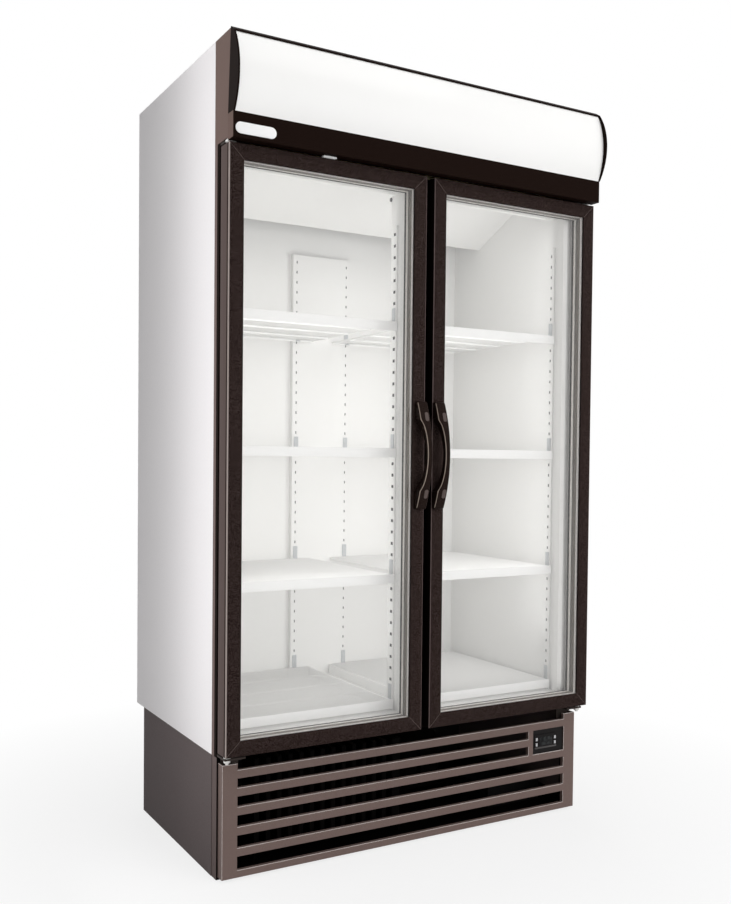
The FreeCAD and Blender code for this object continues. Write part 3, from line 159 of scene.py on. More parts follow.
def block(shape, low, high):
    """A box between two corners, added to a shape; its vertices come back."""
    low, high = Vector(low), Vector(high)
    made = bmesh.ops.create_cube(shape, size=1)["verts"]
    bmesh.ops.scale(shape, vec=high - low, verts=made)
    bmesh.ops.translate(shape, vec=(low + high) / 2, verts=made)
    return made


def edges_of(verts):
    """The edges that meet at some vertices."""
    return list(dict.fromkeys(edge for vert in verts for edge in vert.link_edges))


def soften(shape, edges, radius, segments):
    """Rounds edges off."""
    bmesh.ops.bevel(shape, geom=edges, offset=radius, segments=segments, profile=0.5, affect="EDGES",
                    material=-1, clamp_overlap=True)


def rod(shape, start, end, radius, sides):
    """A round bar between two points, added to a shape."""
    start, end = Vector(start), Vector(end)
    run = end - start
    turn = Vector((0, 0, 1)).rotation_difference(run).to_matrix().to_4x4()
    middle = Matrix.Translation((start + end) / 2)
    return bmesh.ops.create_cone(shape, cap_ends=True, segments=sides, radius1=radius, radius2=radius,
                                 depth=run.length, matrix=middle @ turn)["verts"]


def rims_of(verts):
    """The sharp edges at the two ends of a round bar."""
    return [edge for edge in edges_of(verts) if edge.calc_face_angle(0) > 1]


dark_steel = coated("dark_steel", (0.05, 0.05, 0.05), (0.12, 0.12, 0.12), grain=(500, 0.4),
                    roughness=(0.35, 0.1), relief=0.05, edge=0.0004, Metallic=0.8)
post_low, post_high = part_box("mullion_post")
POST_SCREW_RADIUS = 0.0058
POST_SCREW_HEAD = 0.0026
POST_SCREW_DROP = 0.0085
POST_SCREW_INSET = 0.0065
POST_SCREW_EDGE = 0.0007
post_screws = bmesh.new()
for side_x, way in ((post_low.x, -1), (post_high.x, 1)):
    middle = Vector((side_x, post_high.y - POST_SCREW_INSET, post_high.z - POST_SCREW_DROP))
    head = rod(post_screws, middle, middle + Vector((way * POST_SCREW_HEAD, 0, 0)), POST_SCREW_RADIUS, 16)
    soften(post_screws, rims_of(head), POST_SCREW_EDGE, 2)
add_piece("post_screws", post_screws, dark_steel, "cabinet")


# Back panel rivets: zinc heads set flush in the sheet, in rows along its edges.
# They stand only a hair proud, so that the sheet's own face does not cover them.

RIVET_RADIUS = 0.0048
RIVET_DEPTH = 0.0005
RIVET_PROUD = 0.00002
RIVET_INSET = 0.012
RIVETS_ACROSS = 6
RIVETS_UP = 9
rivet_zinc = coated("rivet_zinc", (0.48, 0.48, 0.475), (0.38, 0.38, 0.38), grain=(300, 0.5),
                    roughness=(0.36, 0.12), relief=0.05, edge=0.0004, Metallic=0.5)
back_low, back_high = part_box("back_panel")
rivet_spots = []
for step in range(RIVETS_ACROSS):
    x = back_low.x + RIVET_INSET + (back_high.x - back_low.x - 2 * RIVET_INSET) * step / (RIVETS_ACROSS - 1)
    rivet_spots += [(x, back_low.z + RIVET_INSET), (x, back_high.z - RIVET_INSET)]
for step in range(1, RIVETS_UP):
    z = back_low.z + RIVET_INSET + (back_high.z - back_low.z - 2 * RIVET_INSET) * step / RIVETS_UP
    rivet_spots += [(back_low.x + RIVET_INSET, z), (back_high.x - RIVET_INSET, z)]
back_rivets = bmesh.new()
for x, z in rivet_spots:
    rod(back_rivets, (x, back_high.y - RIVET_DEPTH, z), (x, back_high.y + RIVET_PROUD, z), RIVET_RADIUS, 18)
add_piece("back_rivets", back_rivets, rivet_zinc, "cabinet")


# Insulation: blown foam, cream coloured, which fills the walls between shell and liner.
# Its surface is a fine pattern of cells, matt and a little dented.

blown_foam = bpy.data.materials.new("blown_foam")
blown_foam.use_nodes = True
foam_tree = blown_foam.node_tree
foam_place = add_node(foam_tree, "ShaderNodeTexCoord").outputs["Object"]
foam_cells = add_node(foam_tree, "ShaderNodeTexVoronoi", Vector=foam_place, Scale=260.0)
foam_tint = add_node(foam_tree, "ShaderNodeMix", {"data_type": "RGBA"}, n0=foam_cells.outputs["Distance"],
                     n6=(0.78, 0.66, 0.36, 1), n7=(0.88, 0.79, 0.52, 1))
foam_dents = add_node(foam_tree, "ShaderNodeBump", Strength=0.4, Distance=0.001,
                      Height=foam_cells.outputs["Distance"])
foam_surface = foam_tree.nodes["Principled BSDF"]
foam_tree.links.new(foam_tint.outputs[2], foam_surface.inputs["Base Color"])
foam_tree.links.new(foam_dents.outputs[0], foam_surface.inputs["Normal"])
foam_surface.inputs["Roughness"].default_value = 0.9
dress(blown_foam, "insulation_foam")


# Strips round the door opening: plastic extrusions that break the cold path between shell and liner.
# They are dark in front, where the door gaskets seal, white inside the gasket line
# and brown at the outer side.

def reckon(tree, operation, *numbers):
    """One step of arithmetic between node sockets and numbers."""
    step = add_node(tree, "ShaderNodeMath", {"operation": operation})
    for socket, number in zip(step.inputs, numbers):
        if isinstance(number, bpy.types.NodeSocket):
            tree.links.new(number, socket)
        else:
            socket.default_value = number
    return step.outputs[0]


def places(tree):
    """The X, Y and Z of a point on the freezer at rest."""
    spot = add_node(tree, "ShaderNodeTexCoord").outputs["Object"]
    return add_node(tree, "ShaderNodeSeparateXYZ", n0=spot).outputs


def overlay(finish, mask, colour):
    """Lays a second colour over a finish where a mask is one."""
    tree = finish.node_tree
    surface = tree.nodes["Principled BSDF"]
    under = surface.inputs["Base Color"].links[0].from_socket
    both = add_node(tree, "ShaderNodeMix", {"data_type": "RGBA"}, n0=mask, n6=under, n7=(*colour, 1))
    tree.links.new(both.outputs[2], surface.inputs["Base Color"])


STRIP_BEVEL = 0.008
FLANGE_DEPTH = 0.016
STRIP_FACE = 0.0005
STRIP_SIDE = 0.0003
LINER_SHEET = 0.001
strip_plastic = coated("strip_plastic", (0.0105, 0.0068, 0.0058), (0.020, 0.0145, 0.013), grain=(420, 0.4),
                       roughness=(0.5, 0.1), relief=0.0, edge=0.001, Specular_IOR_Level=0.004)
strip_tree = strip_plastic.node_tree
strip_low, strip_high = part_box("breaker_strips")
liner_low, liner_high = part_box("inner_liner")
gasket_low, gasket_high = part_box("right_door_gasket")
GASKET_WIDTH = 0.012
across, depth, up = places(strip_tree)
across = reckon(strip_tree, "ABSOLUTE", across)
beside = reckon(strip_tree, "LESS_THAN", across, gasket_high.x - GASKET_WIDTH)
within = reckon(strip_tree, "GREATER_THAN", depth, strip_low.y + STRIP_FACE)
jamb = reckon(strip_tree, "GREATER_THAN", across, liner_high.x - 2 * STRIP_BEVEL)
above = reckon(strip_tree, "GREATER_THAN", up, liner_low.z + LINER_SHEET - STRIP_BEVEL)
below = reckon(strip_tree, "LESS_THAN", up, post_high.z + STRIP_BEVEL)
inside = reckon(strip_tree, "MULTIPLY", beside, reckon(strip_tree, "MAXIMUM", within, jamb))
inside = reckon(strip_tree, "MULTIPLY", inside, reckon(strip_tree, "MULTIPLY", above, below))
overlay(strip_plastic, inside, (0.85, 0.84, 0.825))
flange = reckon(strip_tree, "GREATER_THAN", across, strip_high.x - STRIP_SIDE)
far_back = reckon(strip_tree, "GREATER_THAN", depth, strip_high.y - FLANGE_DEPTH)
flange = reckon(strip_tree, "MULTIPLY", flange, far_back)
overlay(strip_plastic, flange, (0.175, 0.132, 0.122))
dress(strip_plastic, "breaker_strips")


# Sign canopy: brown sheet side panels, moulded end caps with a curved front edge,
# and an opal acrylic sheet sprung between the caps, lit from behind by one tube.

canopy_paint = coated("canopy_paint", (0.140, 0.096, 0.084), (0.19, 0.138, 0.122), grain=(520, 0.5),
                      roughness=(0.45, 0.1), relief=0.08, edge=0.001, Specular_IOR_Level=0.03)
dress(canopy_paint, "canopy_side_panels")
cap_plastic = coated("cap_plastic", (0.009, 0.0050, 0.0040), (0.018, 0.0115, 0.0095), grain=(380, 0.4),
                     roughness=(0.34, 0.08), relief=0.04, edge=0.0012, Specular_IOR_Level=0.008)
dress(cap_plastic, "end_cap_left", "end_cap_right")

opal_acrylic = bpy.data.materials.new("opal_acrylic")
opal_acrylic.use_nodes = True
opal_tree = opal_acrylic.node_tree
opal_place = add_node(opal_tree, "ShaderNodeTexCoord").outputs["Object"]
opal_cloud = add_node(opal_tree, "ShaderNodeTexNoise", Vector=opal_place, Scale=3.0, Detail=2.0)
opal_tint = add_node(opal_tree, "ShaderNodeMix", {"data_type": "RGBA"}, n0=opal_cloud.outputs[0],
                     n6=(0.905, 0.90, 0.885, 1), n7=(0.93, 0.925, 0.915, 1))
opal_surface = opal_tree.nodes["Principled BSDF"]
opal_tree.links.new(opal_tint.outputs[2], opal_surface.inputs["Base Color"])
opal_surface.inputs["Roughness"].default_value = 0.18
dress(opal_acrylic, "sign_panel")

lamp_glass = coated("lamp_glass", (0.90, 0.90, 0.87), (0.84, 0.84, 0.82), grain=(60, 0.3),
                    roughness=(0.2, 0.1), relief=0.0, edge=0.0005)
dress(lamp_glass, "sign_lamp")


# Fascia under the sign: a dark brown powder-coated channel across the front.
# A blank white pill-shaped plate is glued on at its left end.

fascia_paint = coated("fascia_paint", (0.0072, 0.0030, 0.0019), (0.022, 0.0135, 0.011), grain=(560, 0.5),
                      roughness=(0.46, 0.1), relief=0.15, edge=0.0014, Specular_IOR_Level=0.02)
FASCIA_SIDE = 0.0004
fascia_low, fascia_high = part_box("fascia")
fascia_tree = fascia_paint.node_tree
fascia_end = reckon(fascia_tree, "ABSOLUTE", places(fascia_tree)[0])
fascia_end = reckon(fascia_tree, "GREATER_THAN", fascia_end, fascia_high.x - FASCIA_SIDE)
overlay(fascia_paint, fascia_end, (0.140, 0.096, 0.084))
dress(fascia_paint, "fascia", "canopy_tray")


def run_of(edge):
    """The vector from one end of an edge to the other."""
    return edge.verts[1].co - edge.verts[0].co


PLATE_LENGTH = 0.104
PLATE_HEIGHT = 0.027
PLATE_THICKNESS = 0.002
PLATE_INSET = 0.058
PLATE_LEVEL = 1.795
PLATE_EDGE = 0.0008
PLATE_ROUND = 0.495
plate_middle = Vector((fascia_low.x + PLATE_INSET, fascia_low.y, PLATE_LEVEL))
blank_plate = bmesh.new()
outline = block(blank_plate, plate_middle - Vector((PLATE_LENGTH / 2, PLATE_THICKNESS, PLATE_HEIGHT / 2)),
                plate_middle + Vector((PLATE_LENGTH / 2, 0, PLATE_HEIGHT / 2)))
corners = [edge for edge in edges_of(outline) if abs(run_of(edge).y) > 1e-6]
soften(blank_plate, corners, PLATE_HEIGHT * PLATE_ROUND, 10)
half_way = fascia_low.y - PLATE_THICKNESS / 2
rim = [edge for edge in blank_plate.edges if all(vert.co.y < half_way for vert in edge.verts)]
soften(blank_plate, rim, PLATE_EDGE, 2)
plate_white = coated("plate_white", (0.88, 0.88, 0.88), (0.82, 0.82, 0.82), grain=(90, 0.2),
                     roughness=(0.16, 0.06), relief=0.02, edge=0.0004)
add_piece("blank_plate", blank_plate, plate_white, "cabinet")


# Door stop: a small white moulded tab under the fascia, over the top edge of the left door.
# It belongs to the cabinet, and the door swings clear beneath it.

STOP_LEFT = -0.319
STOP_RIGHT = -0.283
STOP_GAP = 0.0006
STOP_AHEAD = 0.006
STOP_BEHIND = 0.012
STOP_EDGE = 0.0012
left_low, left_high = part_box("left_door_frame")
door_stop = bmesh.new()
tab = block(door_stop, (STOP_LEFT, left_low.y - STOP_AHEAD, left_high.z + STOP_GAP),
            (STOP_RIGHT, left_low.y + STOP_BEHIND, fascia_low.z))
soften(door_stop, edges_of(tab), STOP_EDGE, 2)
add_piece("door_stop", door_stop, plate_white, "cabinet")


# Door frames: four lengths of extrusion with a speckled brown powder coat, mitred at the corners.
# A wide lip lies in front of the glass, with a narrower web behind it; the cut ends show as paler lines,
# and the sides where the doors meet are black. Painted highlights lie along the front edge of the meeting side
# and along the outer front corner, and a dark band on the outer side is painted shade of a groove.

speckled_coat = coated("speckled_coat", (0.0105, 0.0055, 0.0043), (0.092, 0.066, 0.062), grain=(520, 0.62),
                       roughness=(0.45, 0.1), relief=0.3, edge=0.0014, Specular_IOR_Level=0.012)
JOINT_HALF_WIDTH = 0.0010
FRAME_EDGE = 0.0018
SHEEN_DEPTH = 0.0055
GROOVE_DEPTH = 0.0125
FRAME_SIDE = 0.0002
coat_tree = speckled_coat.node_tree
door_low, door_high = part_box("right_door_frame")
across, depth, up = places(coat_tree)
across = reckon(coat_tree, "ABSOLUTE", across)
from_stile = reckon(coat_tree, "MINIMUM", reckon(coat_tree, "SUBTRACT", across, door_low.x),
                    reckon(coat_tree, "SUBTRACT", door_high.x, across))
from_rail = reckon(coat_tree, "MINIMUM", reckon(coat_tree, "SUBTRACT", up, door_low.z),
                   reckon(coat_tree, "SUBTRACT", door_high.z, up))
off_mitre = reckon(coat_tree, "ABSOLUTE", reckon(coat_tree, "SUBTRACT", from_stile, from_rail))
overlay(speckled_coat, reckon(coat_tree, "LESS_THAN", off_mitre, JOINT_HALF_WIDTH), (0.14, 0.108, 0.100))
at_meeting = reckon(coat_tree, "LESS_THAN", across, door_low.x + FRAME_EDGE)
at_front = reckon(coat_tree, "LESS_THAN", depth, door_low.y + FRAME_EDGE)
overlay(speckled_coat, at_meeting, (0.0055, 0.0036, 0.0030))
# Painted highlight: a pale line along the front edge of the meeting side.
overlay(speckled_coat, reckon(coat_tree, "MULTIPLY", at_meeting, at_front), (0.15, 0.112, 0.108))
at_side = reckon(coat_tree, "GREATER_THAN", across, door_high.x - FRAME_SIDE)
overlay(speckled_coat, at_side, (0.098, 0.073, 0.068))
# Painted shade: a dark band on the front of the outer side stands for the shade in a groove.
groove_shade_band = reckon(coat_tree, "LESS_THAN", depth, door_low.y + GROOVE_DEPTH)
overlay(speckled_coat, reckon(coat_tree, "MULTIPLY", at_side, groove_shade_band), (0.018, 0.011, 0.009))
# Painted highlight: a pale band along the outer front corner of the door.
corner_highlight = reckon(coat_tree, "GREATER_THAN", across, door_high.x - FRAME_EDGE)
in_sheen = reckon(coat_tree, "LESS_THAN", depth, door_low.y + SHEEN_DEPTH)
corner_highlight = reckon(coat_tree, "MULTIPLY", corner_highlight, in_sheen)
overlay(speckled_coat, corner_highlight, (0.33, 0.28, 0.26))

FRAME_FACE = 0.038
FRAME_WEB = 0.022
FRAME_LIP = 0.004
MITRE_GAP = 0.0004


def pull(shape, outline, left, right):
    """A flat outline in Y and Z, given its length along X, in an empty shape."""
    end = shape.faces.new([shape.verts.new((left, y, z)) for y, z in outline])
    swept = bmesh.ops.extrude_face_region(shape, geom=[end])["geom"]
    moved = [item for item in swept if isinstance(item, bmesh.types.BMVert)]
    bmesh.ops.translate(shape, vec=(right - left, 0, 0), verts=moved)


def frame_bar(length, depth, turn, spot):
    """One mitred length: along X with its outer edge at Z zero, then turned about Y and put in place."""
    profile = [(0, 0), (0, FRAME_FACE), (FRAME_LIP, FRAME_FACE), (FRAME_LIP, FRAME_WEB),
               (depth, FRAME_WEB), (depth, 0)]
    bar = bmesh.new()
    pull(bar, profile, -length / 2, length / 2)
    for way in (-1, 1):
        whole = bar.verts[:] + bar.edges[:] + bar.faces[:]
        cut = bmesh.ops.bisect_plane(bar, geom=whole, plane_co=(way * (length / 2 - MITRE_GAP), 0, 0),
                                     plane_no=(way, 0, 1), clear_outer=True)["geom_cut"]
        bmesh.ops.contextual_create(bar, geom=[item for item in cut if isinstance(item, bmesh.types.BMEdge)])
    bmesh.ops.recalc_face_normals(bar, faces=bar.faces)
    corners = [edge for edge in bar.edges if edge.is_convex and abs(run_of(edge).normalized().x) > 0.99]
    soften(bar, corners, FRAME_EDGE, 3)
    bmesh.ops.transform(bar, matrix=Matrix.Translation(spot) @ Matrix.Rotation(turn, 4, "Y"), verts=bar.verts)
    return bar


def join(shape, part):
    """Adds a finished part to a shape."""
    carrier = bpy.data.meshes.new("carrier")
    part.to_mesh(carrier)
    part.free()
    shape.from_mesh(carrier)
    bpy.data.meshes.remove(carrier)


for door in ("left_door", "right_door"):
    low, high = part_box(f"{door}_frame")
    width, depth, height = high - low
    centre_x, centre_z = (low.x + high.x) / 2, (low.z + high.z) / 2
    door_frame = bmesh.new()
    join(door_frame, frame_bar(width, depth, 0, (centre_x, low.y, low.z)))
    join(door_frame, frame_bar(width, depth, math.pi, (centre_x, low.y, high.z)))
    join(door_frame, frame_bar(height, depth, math.pi / 2, (low.x, low.y, centre_z)))
    join(door_frame, frame_bar(height, depth, -math.pi / 2, (high.x, low.y, centre_z)))
    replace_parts(add_piece(f"{door}_bars", door_frame, speckled_coat, door), f"{door}_frame")


# Door glass: two clear panes held apart by an aluminium spacer with a band of grey-brown sealant behind it.
# A pale plastic bead with a dark lip holds the unit; the magnetic gasket behind it is pale on its inner side.

clear_glass = bpy.data.materials.new("clear_glass")
clear_glass.use_nodes = True
glass_tree = clear_glass.node_tree
glass_surface = glass_tree.nodes["Principled BSDF"]
glass_surface.inputs["Base Color"].default_value = (0.995, 0.995, 0.992, 1)
glass_surface.inputs["Transmission Weight"].default_value = 1.0
glass_surface.inputs["IOR"].default_value = 1.45
glass_place = add_node(glass_tree, "ShaderNodeTexCoord").outputs["Object"]
glass_film = add_node(glass_tree, "ShaderNodeTexNoise", Vector=glass_place, Scale=4.0, Detail=4.0)
glass_haze = add_node(glass_tree, "ShaderNodeMapRange", Value=glass_film.outputs[0], From_Min=0.3,
                      From_Max=0.8, To_Min=0.0, To_Max=0.02)
glass_tree.links.new(glass_haze.outputs[0], glass_surface.inputs["Roughness"])
glass_rays = add_node(glass_tree, "ShaderNodeLightPath")
glass_open = add_node(glass_tree, "ShaderNodeBsdfTransparent")
glass_either = add_node(glass_tree, "ShaderNodeMixShader", n0=glass_rays.outputs["Is Shadow Ray"],
                        n1=glass_surface.outputs[0], n2=glass_open.outputs[0])
glass_tree.links.new(glass_either.outputs[0], glass_tree.nodes["Material Output"].inputs["Surface"])

SEALANT_FRONT = 0.0085
BEAD_LIP = 0.0085
GASKET_SKIN = 0.0002
satin_aluminium = coated("satin_aluminium", (0.88, 0.84, 0.81), (0.80, 0.76, 0.73), grain=(240, 0.4),
                         roughness=(0.36, 0.1), relief=0.05, edge=0.0006, Specular_IOR_Level=0.3)
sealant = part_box("left_door_spacer")[0].y + SEALANT_FRONT
spacer_tree = satin_aluminium.node_tree
behind = reckon(spacer_tree, "GREATER_THAN", places(spacer_tree)[1], sealant)
overlay(satin_aluminium, behind, (0.185, 0.155, 0.130))
pale_bead = coated("pale_bead", (0.94, 0.90, 0.86), (0.88, 0.84, 0.80), grain=(200, 0.4),
                   roughness=(0.45, 0.1), relief=0.04, edge=0.001, Specular_IOR_Level=0.12)
dark_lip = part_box("left_door_glazing_bead")[0].y + BEAD_LIP
bead_tree = pale_bead.node_tree
behind = reckon(bead_tree, "GREATER_THAN", places(bead_tree)[1], dark_lip)
overlay(pale_bead, behind, (0.016, 0.012, 0.010))
gasket_rubber = coated("gasket_rubber", (0.020, 0.016, 0.014), (0.035, 0.030, 0.027), grain=(300, 0.6),
                       roughness=(0.55, 0.1), relief=0.1, edge=0.002, Specular_IOR_Level=0.05)
rubber_tree = gasket_rubber.node_tree
across, _, up = places(rubber_tree)
across = reckon(rubber_tree, "ABSOLUTE", across)
from_side = reckon(rubber_tree, "MINIMUM", reckon(rubber_tree, "SUBTRACT", across, gasket_low.x),
                   reckon(rubber_tree, "SUBTRACT", gasket_high.x, across))
from_end = reckon(rubber_tree, "MINIMUM", reckon(rubber_tree, "SUBTRACT", up, gasket_low.z),
                  reckon(rubber_tree, "SUBTRACT", gasket_high.z, up))
from_outside = reckon(rubber_tree, "MINIMUM", from_side, from_end)
inward = reckon(rubber_tree, "GREATER_THAN", from_outside, GASKET_WIDTH - GASKET_SKIN)
overlay(gasket_rubber, inward, (0.84, 0.825, 0.81))
for door in ("left_door", "right_door"):
    dress(clear_glass, f"{door}_outer_pane", f"{door}_inner_pane")
    dress(satin_aluminium, f"{door}_spacer")
    dress(pale_bead, f"{door}_glazing_bead")
    dress(gasket_rubber, f"{door}_gasket")


# Door handles: bowed dark plastic grips, one on each meeting stile, fixed by two screws under lighter covers.
# Both are the same moulding: wide feet, and a narrow bar between them that is scooped away on its left,
# with a painted highlight along that edge.

HANDLE_STATIONS = 40
HANDLE_SOFT = 0.0034
HANDLE_END = 0.013
GRIP_WIDTH = 0.014
SCOOP_HALF = 0.088
FINGER_DEPTH = 0.026
COVER_LENGTH = 0.024
COVER_WIDTH = 0.011
COVER_PROUD = 0.0006
COVER_FROM_END = 0.040
COVER_DEPTH = 0.002
COVER_INSET = 0.95
COVER_ROUND = 0.42
HIGHLIGHT_WAY = (-0.80, -0.60, 0)
handle_plastic = coated("handle_plastic", (0.0105, 0.0055, 0.0042), (0.034, 0.0225, 0.0190), grain=(460, 0.6),
                        roughness=(0.24, 0.08), relief=0.1, edge=0.001, Specular_IOR_Level=0.03)
handle_tree = handle_plastic.node_tree
# Painted highlight: faces of the grip that turn towards the left front are made pale.
facing = add_node(handle_tree, "ShaderNodeVectorTransform",
                  {"vector_type": "NORMAL", "convert_from": "WORLD", "convert_to": "OBJECT"},
                  Vector=add_node(handle_tree, "ShaderNodeNewGeometry").outputs["Normal"])
corner = add_node(handle_tree, "ShaderNodeVectorMath", {"operation": "DOT_PRODUCT"},
                  n0=facing.outputs[0], n1=HIGHLIGHT_WAY)
grip_highlight = add_node(handle_tree, "ShaderNodeMapRange", Value=corner.outputs["Value"],
                  From_Min=0.90, From_Max=0.98)
overlay(handle_plastic, grip_highlight.outputs[0], (0.42, 0.34, 0.285))
cover_plastic = coated("cover_plastic", (0.085, 0.062, 0.056), (0.12, 0.092, 0.085), grain=(420, 0.5),
                       roughness=(0.42, 0.1), relief=0.1, edge=0.0008, Specular_IOR_Level=0.2)


def bow(z, half, rise):
    """How far a shallow arc stands out at a height z from its middle; zero past its ends."""
    if abs(z) >= half:
        return 0.0
    radius = (half * half + rise * rise) / (2 * rise)
    return math.sqrt(radius * radius - z * z) - (radius - rise)


for door in ("left_door", "right_door"):
    low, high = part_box(f"{door}_handle")
    middle = (low + high) / 2
    half = (high.z - low.z) / 2
    reach = high.y - low.y
    grip = bmesh.new()
    bar = block(grip, (low.x, -1, -half), (high.x, 0, half))
    upright = [edge for edge in edges_of(bar) if abs(run_of(edge).z) > half]
    bmesh.ops.subdivide_edges(grip, edges=upright, cuts=HANDLE_STATIONS, use_grid_fill=True)
    for vert in grip.verts:
        outer = HANDLE_END + bow(vert.co.z, half * 1.0001, reach - HANDLE_END)
        inner = bow(vert.co.z, SCOOP_HALF, FINGER_DEPTH)
        if vert.co.x < middle.x:
            scoop = math.sqrt(max(0.0, 1 - (vert.co.z / SCOOP_HALF) ** 2))
            vert.co.x += (high.x - low.x - GRIP_WIDTH) * scoop
        vert.co.y = high.y - (outer if vert.co.y < -0.5 else inner)
        vert.co.z += middle.z
    bmesh.ops.recalc_face_normals(grip, faces=grip.faces)
    sharp = [edge for edge in grip.edges if edge.calc_face_angle(0) > math.radians(50)
             and not all(abs(vert.co.y - high.y) < 1e-6 for vert in edge.verts)]
    soften(grip, sharp, HANDLE_SOFT, 3)
    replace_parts(add_piece(f"{door}_grip", grip, handle_plastic, door), f"{door}_handle")
    covers = bmesh.new()
    rise = reach - HANDLE_END
    for way in (-1, 1):
        z = way * (half - COVER_FROM_END)
        lean = math.asin(z / ((half * half + rise ** 2) / (2 * rise)))
        front = high.y - HANDLE_END - bow(z, half, rise)
        spot = Matrix.Translation((high.x - COVER_WIDTH * COVER_INSET, front, middle.z + z))
        plug = bmesh.new()
        body = block(plug, (-COVER_WIDTH / 2, -COVER_PROUD, -COVER_LENGTH / 2),
                     (COVER_WIDTH / 2, COVER_DEPTH, COVER_LENGTH / 2))
        ends = [edge for edge in edges_of(body) if abs(run_of(edge).y) > 1e-6]
        soften(plug, ends, COVER_WIDTH * COVER_ROUND, 5)
        bmesh.ops.transform(plug, matrix=spot @ Matrix.Rotation(-lean, 4, "X"), verts=plug.verts)
        join(covers, plug)
    add_piece(f"{door}_screw_covers", covers, cover_plastic, door)


# Hinges: dark plates screwed to the front of the cabinet, each with a bright pin that enters the door.
# The pin has a hexagon collar, and a nut and its bolt end hold it on the far side of the plate.

NUT_RADIUS = 0.0085
NUT_HEIGHT = 0.0065
BOLT_RADIUS = 0.0042
BOLT_LENGTH = 0.0105
NUT_EDGE = 0.0008
BOLT_EDGE = 0.0006
COLLAR_PLAY = 0.0003
COLLAR_HEIGHT = 0.0065
BRACKET_PLATE = 0.005
PIN_BRIGHT = 0.0092
UPPER_PIN_MORE = 0.0044
MIDDLE_LEVEL = 1.0
bright_zinc = coated("bright_zinc", (0.66, 0.65, 0.63), (0.52, 0.51, 0.50), grain=(180, 0.6),
                     roughness=(0.26, 0.16), relief=0.05, edge=0.0008, Metallic=0.9)
hinge_steel = coated("hinge_steel", (0.80, 0.79, 0.77), (0.66, 0.65, 0.64), grain=(180, 0.6),
                     roughness=(0.40, 0.16), relief=0.05, edge=0.0008, Specular_IOR_Level=0.05)
hinge_tree = hinge_steel.node_tree
spin = frame["record"]["behaviour"]["joints"][1]["pos_m"]
across, depth, up = places(hinge_tree)
aside = reckon(hinge_tree, "SUBTRACT", reckon(hinge_tree, "ABSOLUTE", across), spin[0])
ahead = reckon(hinge_tree, "SUBTRACT", depth, spin[1])
off_pin = reckon(hinge_tree, "SQRT", reckon(hinge_tree, "ADD", reckon(hinge_tree, "MULTIPLY", aside, aside),
                                            reckon(hinge_tree, "MULTIPLY", ahead, ahead)))
upper = reckon(hinge_tree, "GREATER_THAN", up, MIDDLE_LEVEL)
bright_reach = reckon(hinge_tree, "MULTIPLY_ADD", upper, UPPER_PIN_MORE, PIN_BRIGHT)
overlay(hinge_steel, reckon(hinge_tree, "GREATER_THAN", off_pin, bright_reach), (0.045, 0.036, 0.032))
dress(hinge_steel, "hinge_brackets")
plate_under = left_low.z - COLLAR_PLAY - COLLAR_HEIGHT - BRACKET_PLATE
hinge_nuts = bmesh.new()
for side in (-1, 1):
    seat = Vector((side * spin[0], spin[1], plate_under))
    nut = rod(hinge_nuts, seat - Vector((0, 0, NUT_HEIGHT)), seat, NUT_RADIUS, 6)
    soften(hinge_nuts, edges_of(nut), NUT_EDGE, 2)
    bolt = rod(hinge_nuts, seat - Vector((0, 0, BOLT_LENGTH)), seat, BOLT_RADIUS, 14)
    soften(hinge_nuts, rims_of(bolt), BOLT_EDGE, 2)
add_piece("hinge_nuts", hinge_nuts, bright_zinc, "cabinet")


# Shelf supports: white slotted channels on the walls, the post and the back.
# The slots are punched; the shade in the channel's hollow behind them is painted as dark marks round the slots,
# and as dark plates behind the rear panel's slots. Grey zinc clips hook into them; the plates of the lowest
# ones hold the decks.

SLOT_PITCH = 0.031
SLOT_FIRST = 0.397
SLOT_COUNT = 41
SLOT_HALF_HEIGHT = 0.004
SLOT_LINE = -0.1945
WALL_SLOT_HALF = 0.0024
POST_SLOT_HALF = 0.0052
POST_REACH = 0.1
channel_enamel = coated("channel_enamel", (0.82, 0.815, 0.80), (0.78, 0.775, 0.76), grain=(120, 0.2),
                        roughness=(0.38, 0.1), relief=0.03, edge=0.001, Specular_IOR_Level=0.25)
channel_tree = channel_enamel.node_tree
across, depth, up = places(channel_tree)
rise = reckon(channel_tree, "DIVIDE", reckon(channel_tree, "SUBTRACT", up, SLOT_FIRST), SLOT_PITCH)
nearest = reckon(channel_tree, "ROUND", rise)
off_slot = reckon(channel_tree, "ABSOLUTE", reckon(channel_tree, "SUBTRACT", rise, nearest))
level = reckon(channel_tree, "LESS_THAN", off_slot, SLOT_HALF_HEIGHT / SLOT_PITCH)
level = reckon(channel_tree, "MULTIPLY", level, reckon(channel_tree, "GREATER_THAN", rise, -0.5))
level = reckon(channel_tree, "MULTIPLY", level, reckon(channel_tree, "LESS_THAN", rise, SLOT_COUNT - 0.5))
off_line = reckon(channel_tree, "ABSOLUTE", reckon(channel_tree, "SUBTRACT", depth, SLOT_LINE))
central = reckon(channel_tree, "LESS_THAN", reckon(channel_tree, "ABSOLUTE", across), POST_REACH)
central = reckon(channel_tree, "MULTIPLY", level, central)
# Painted shade: a dark mark at each slot, wider than the punched slot, for the shade in the hollow behind.
for half_width, shade, where in ((WALL_SLOT_HALF, (0.20, 0.195, 0.19), level),
                                 (POST_SLOT_HALF, (0.012, 0.010, 0.009), central)):
    on_line = reckon(channel_tree, "LESS_THAN", off_line, half_width)
    overlay(channel_enamel, reckon(channel_tree, "MULTIPLY", where, on_line), shade)
dress(channel_enamel, "shelf_pilasters")
dress(liner_enamel, "rear_slot_panel")

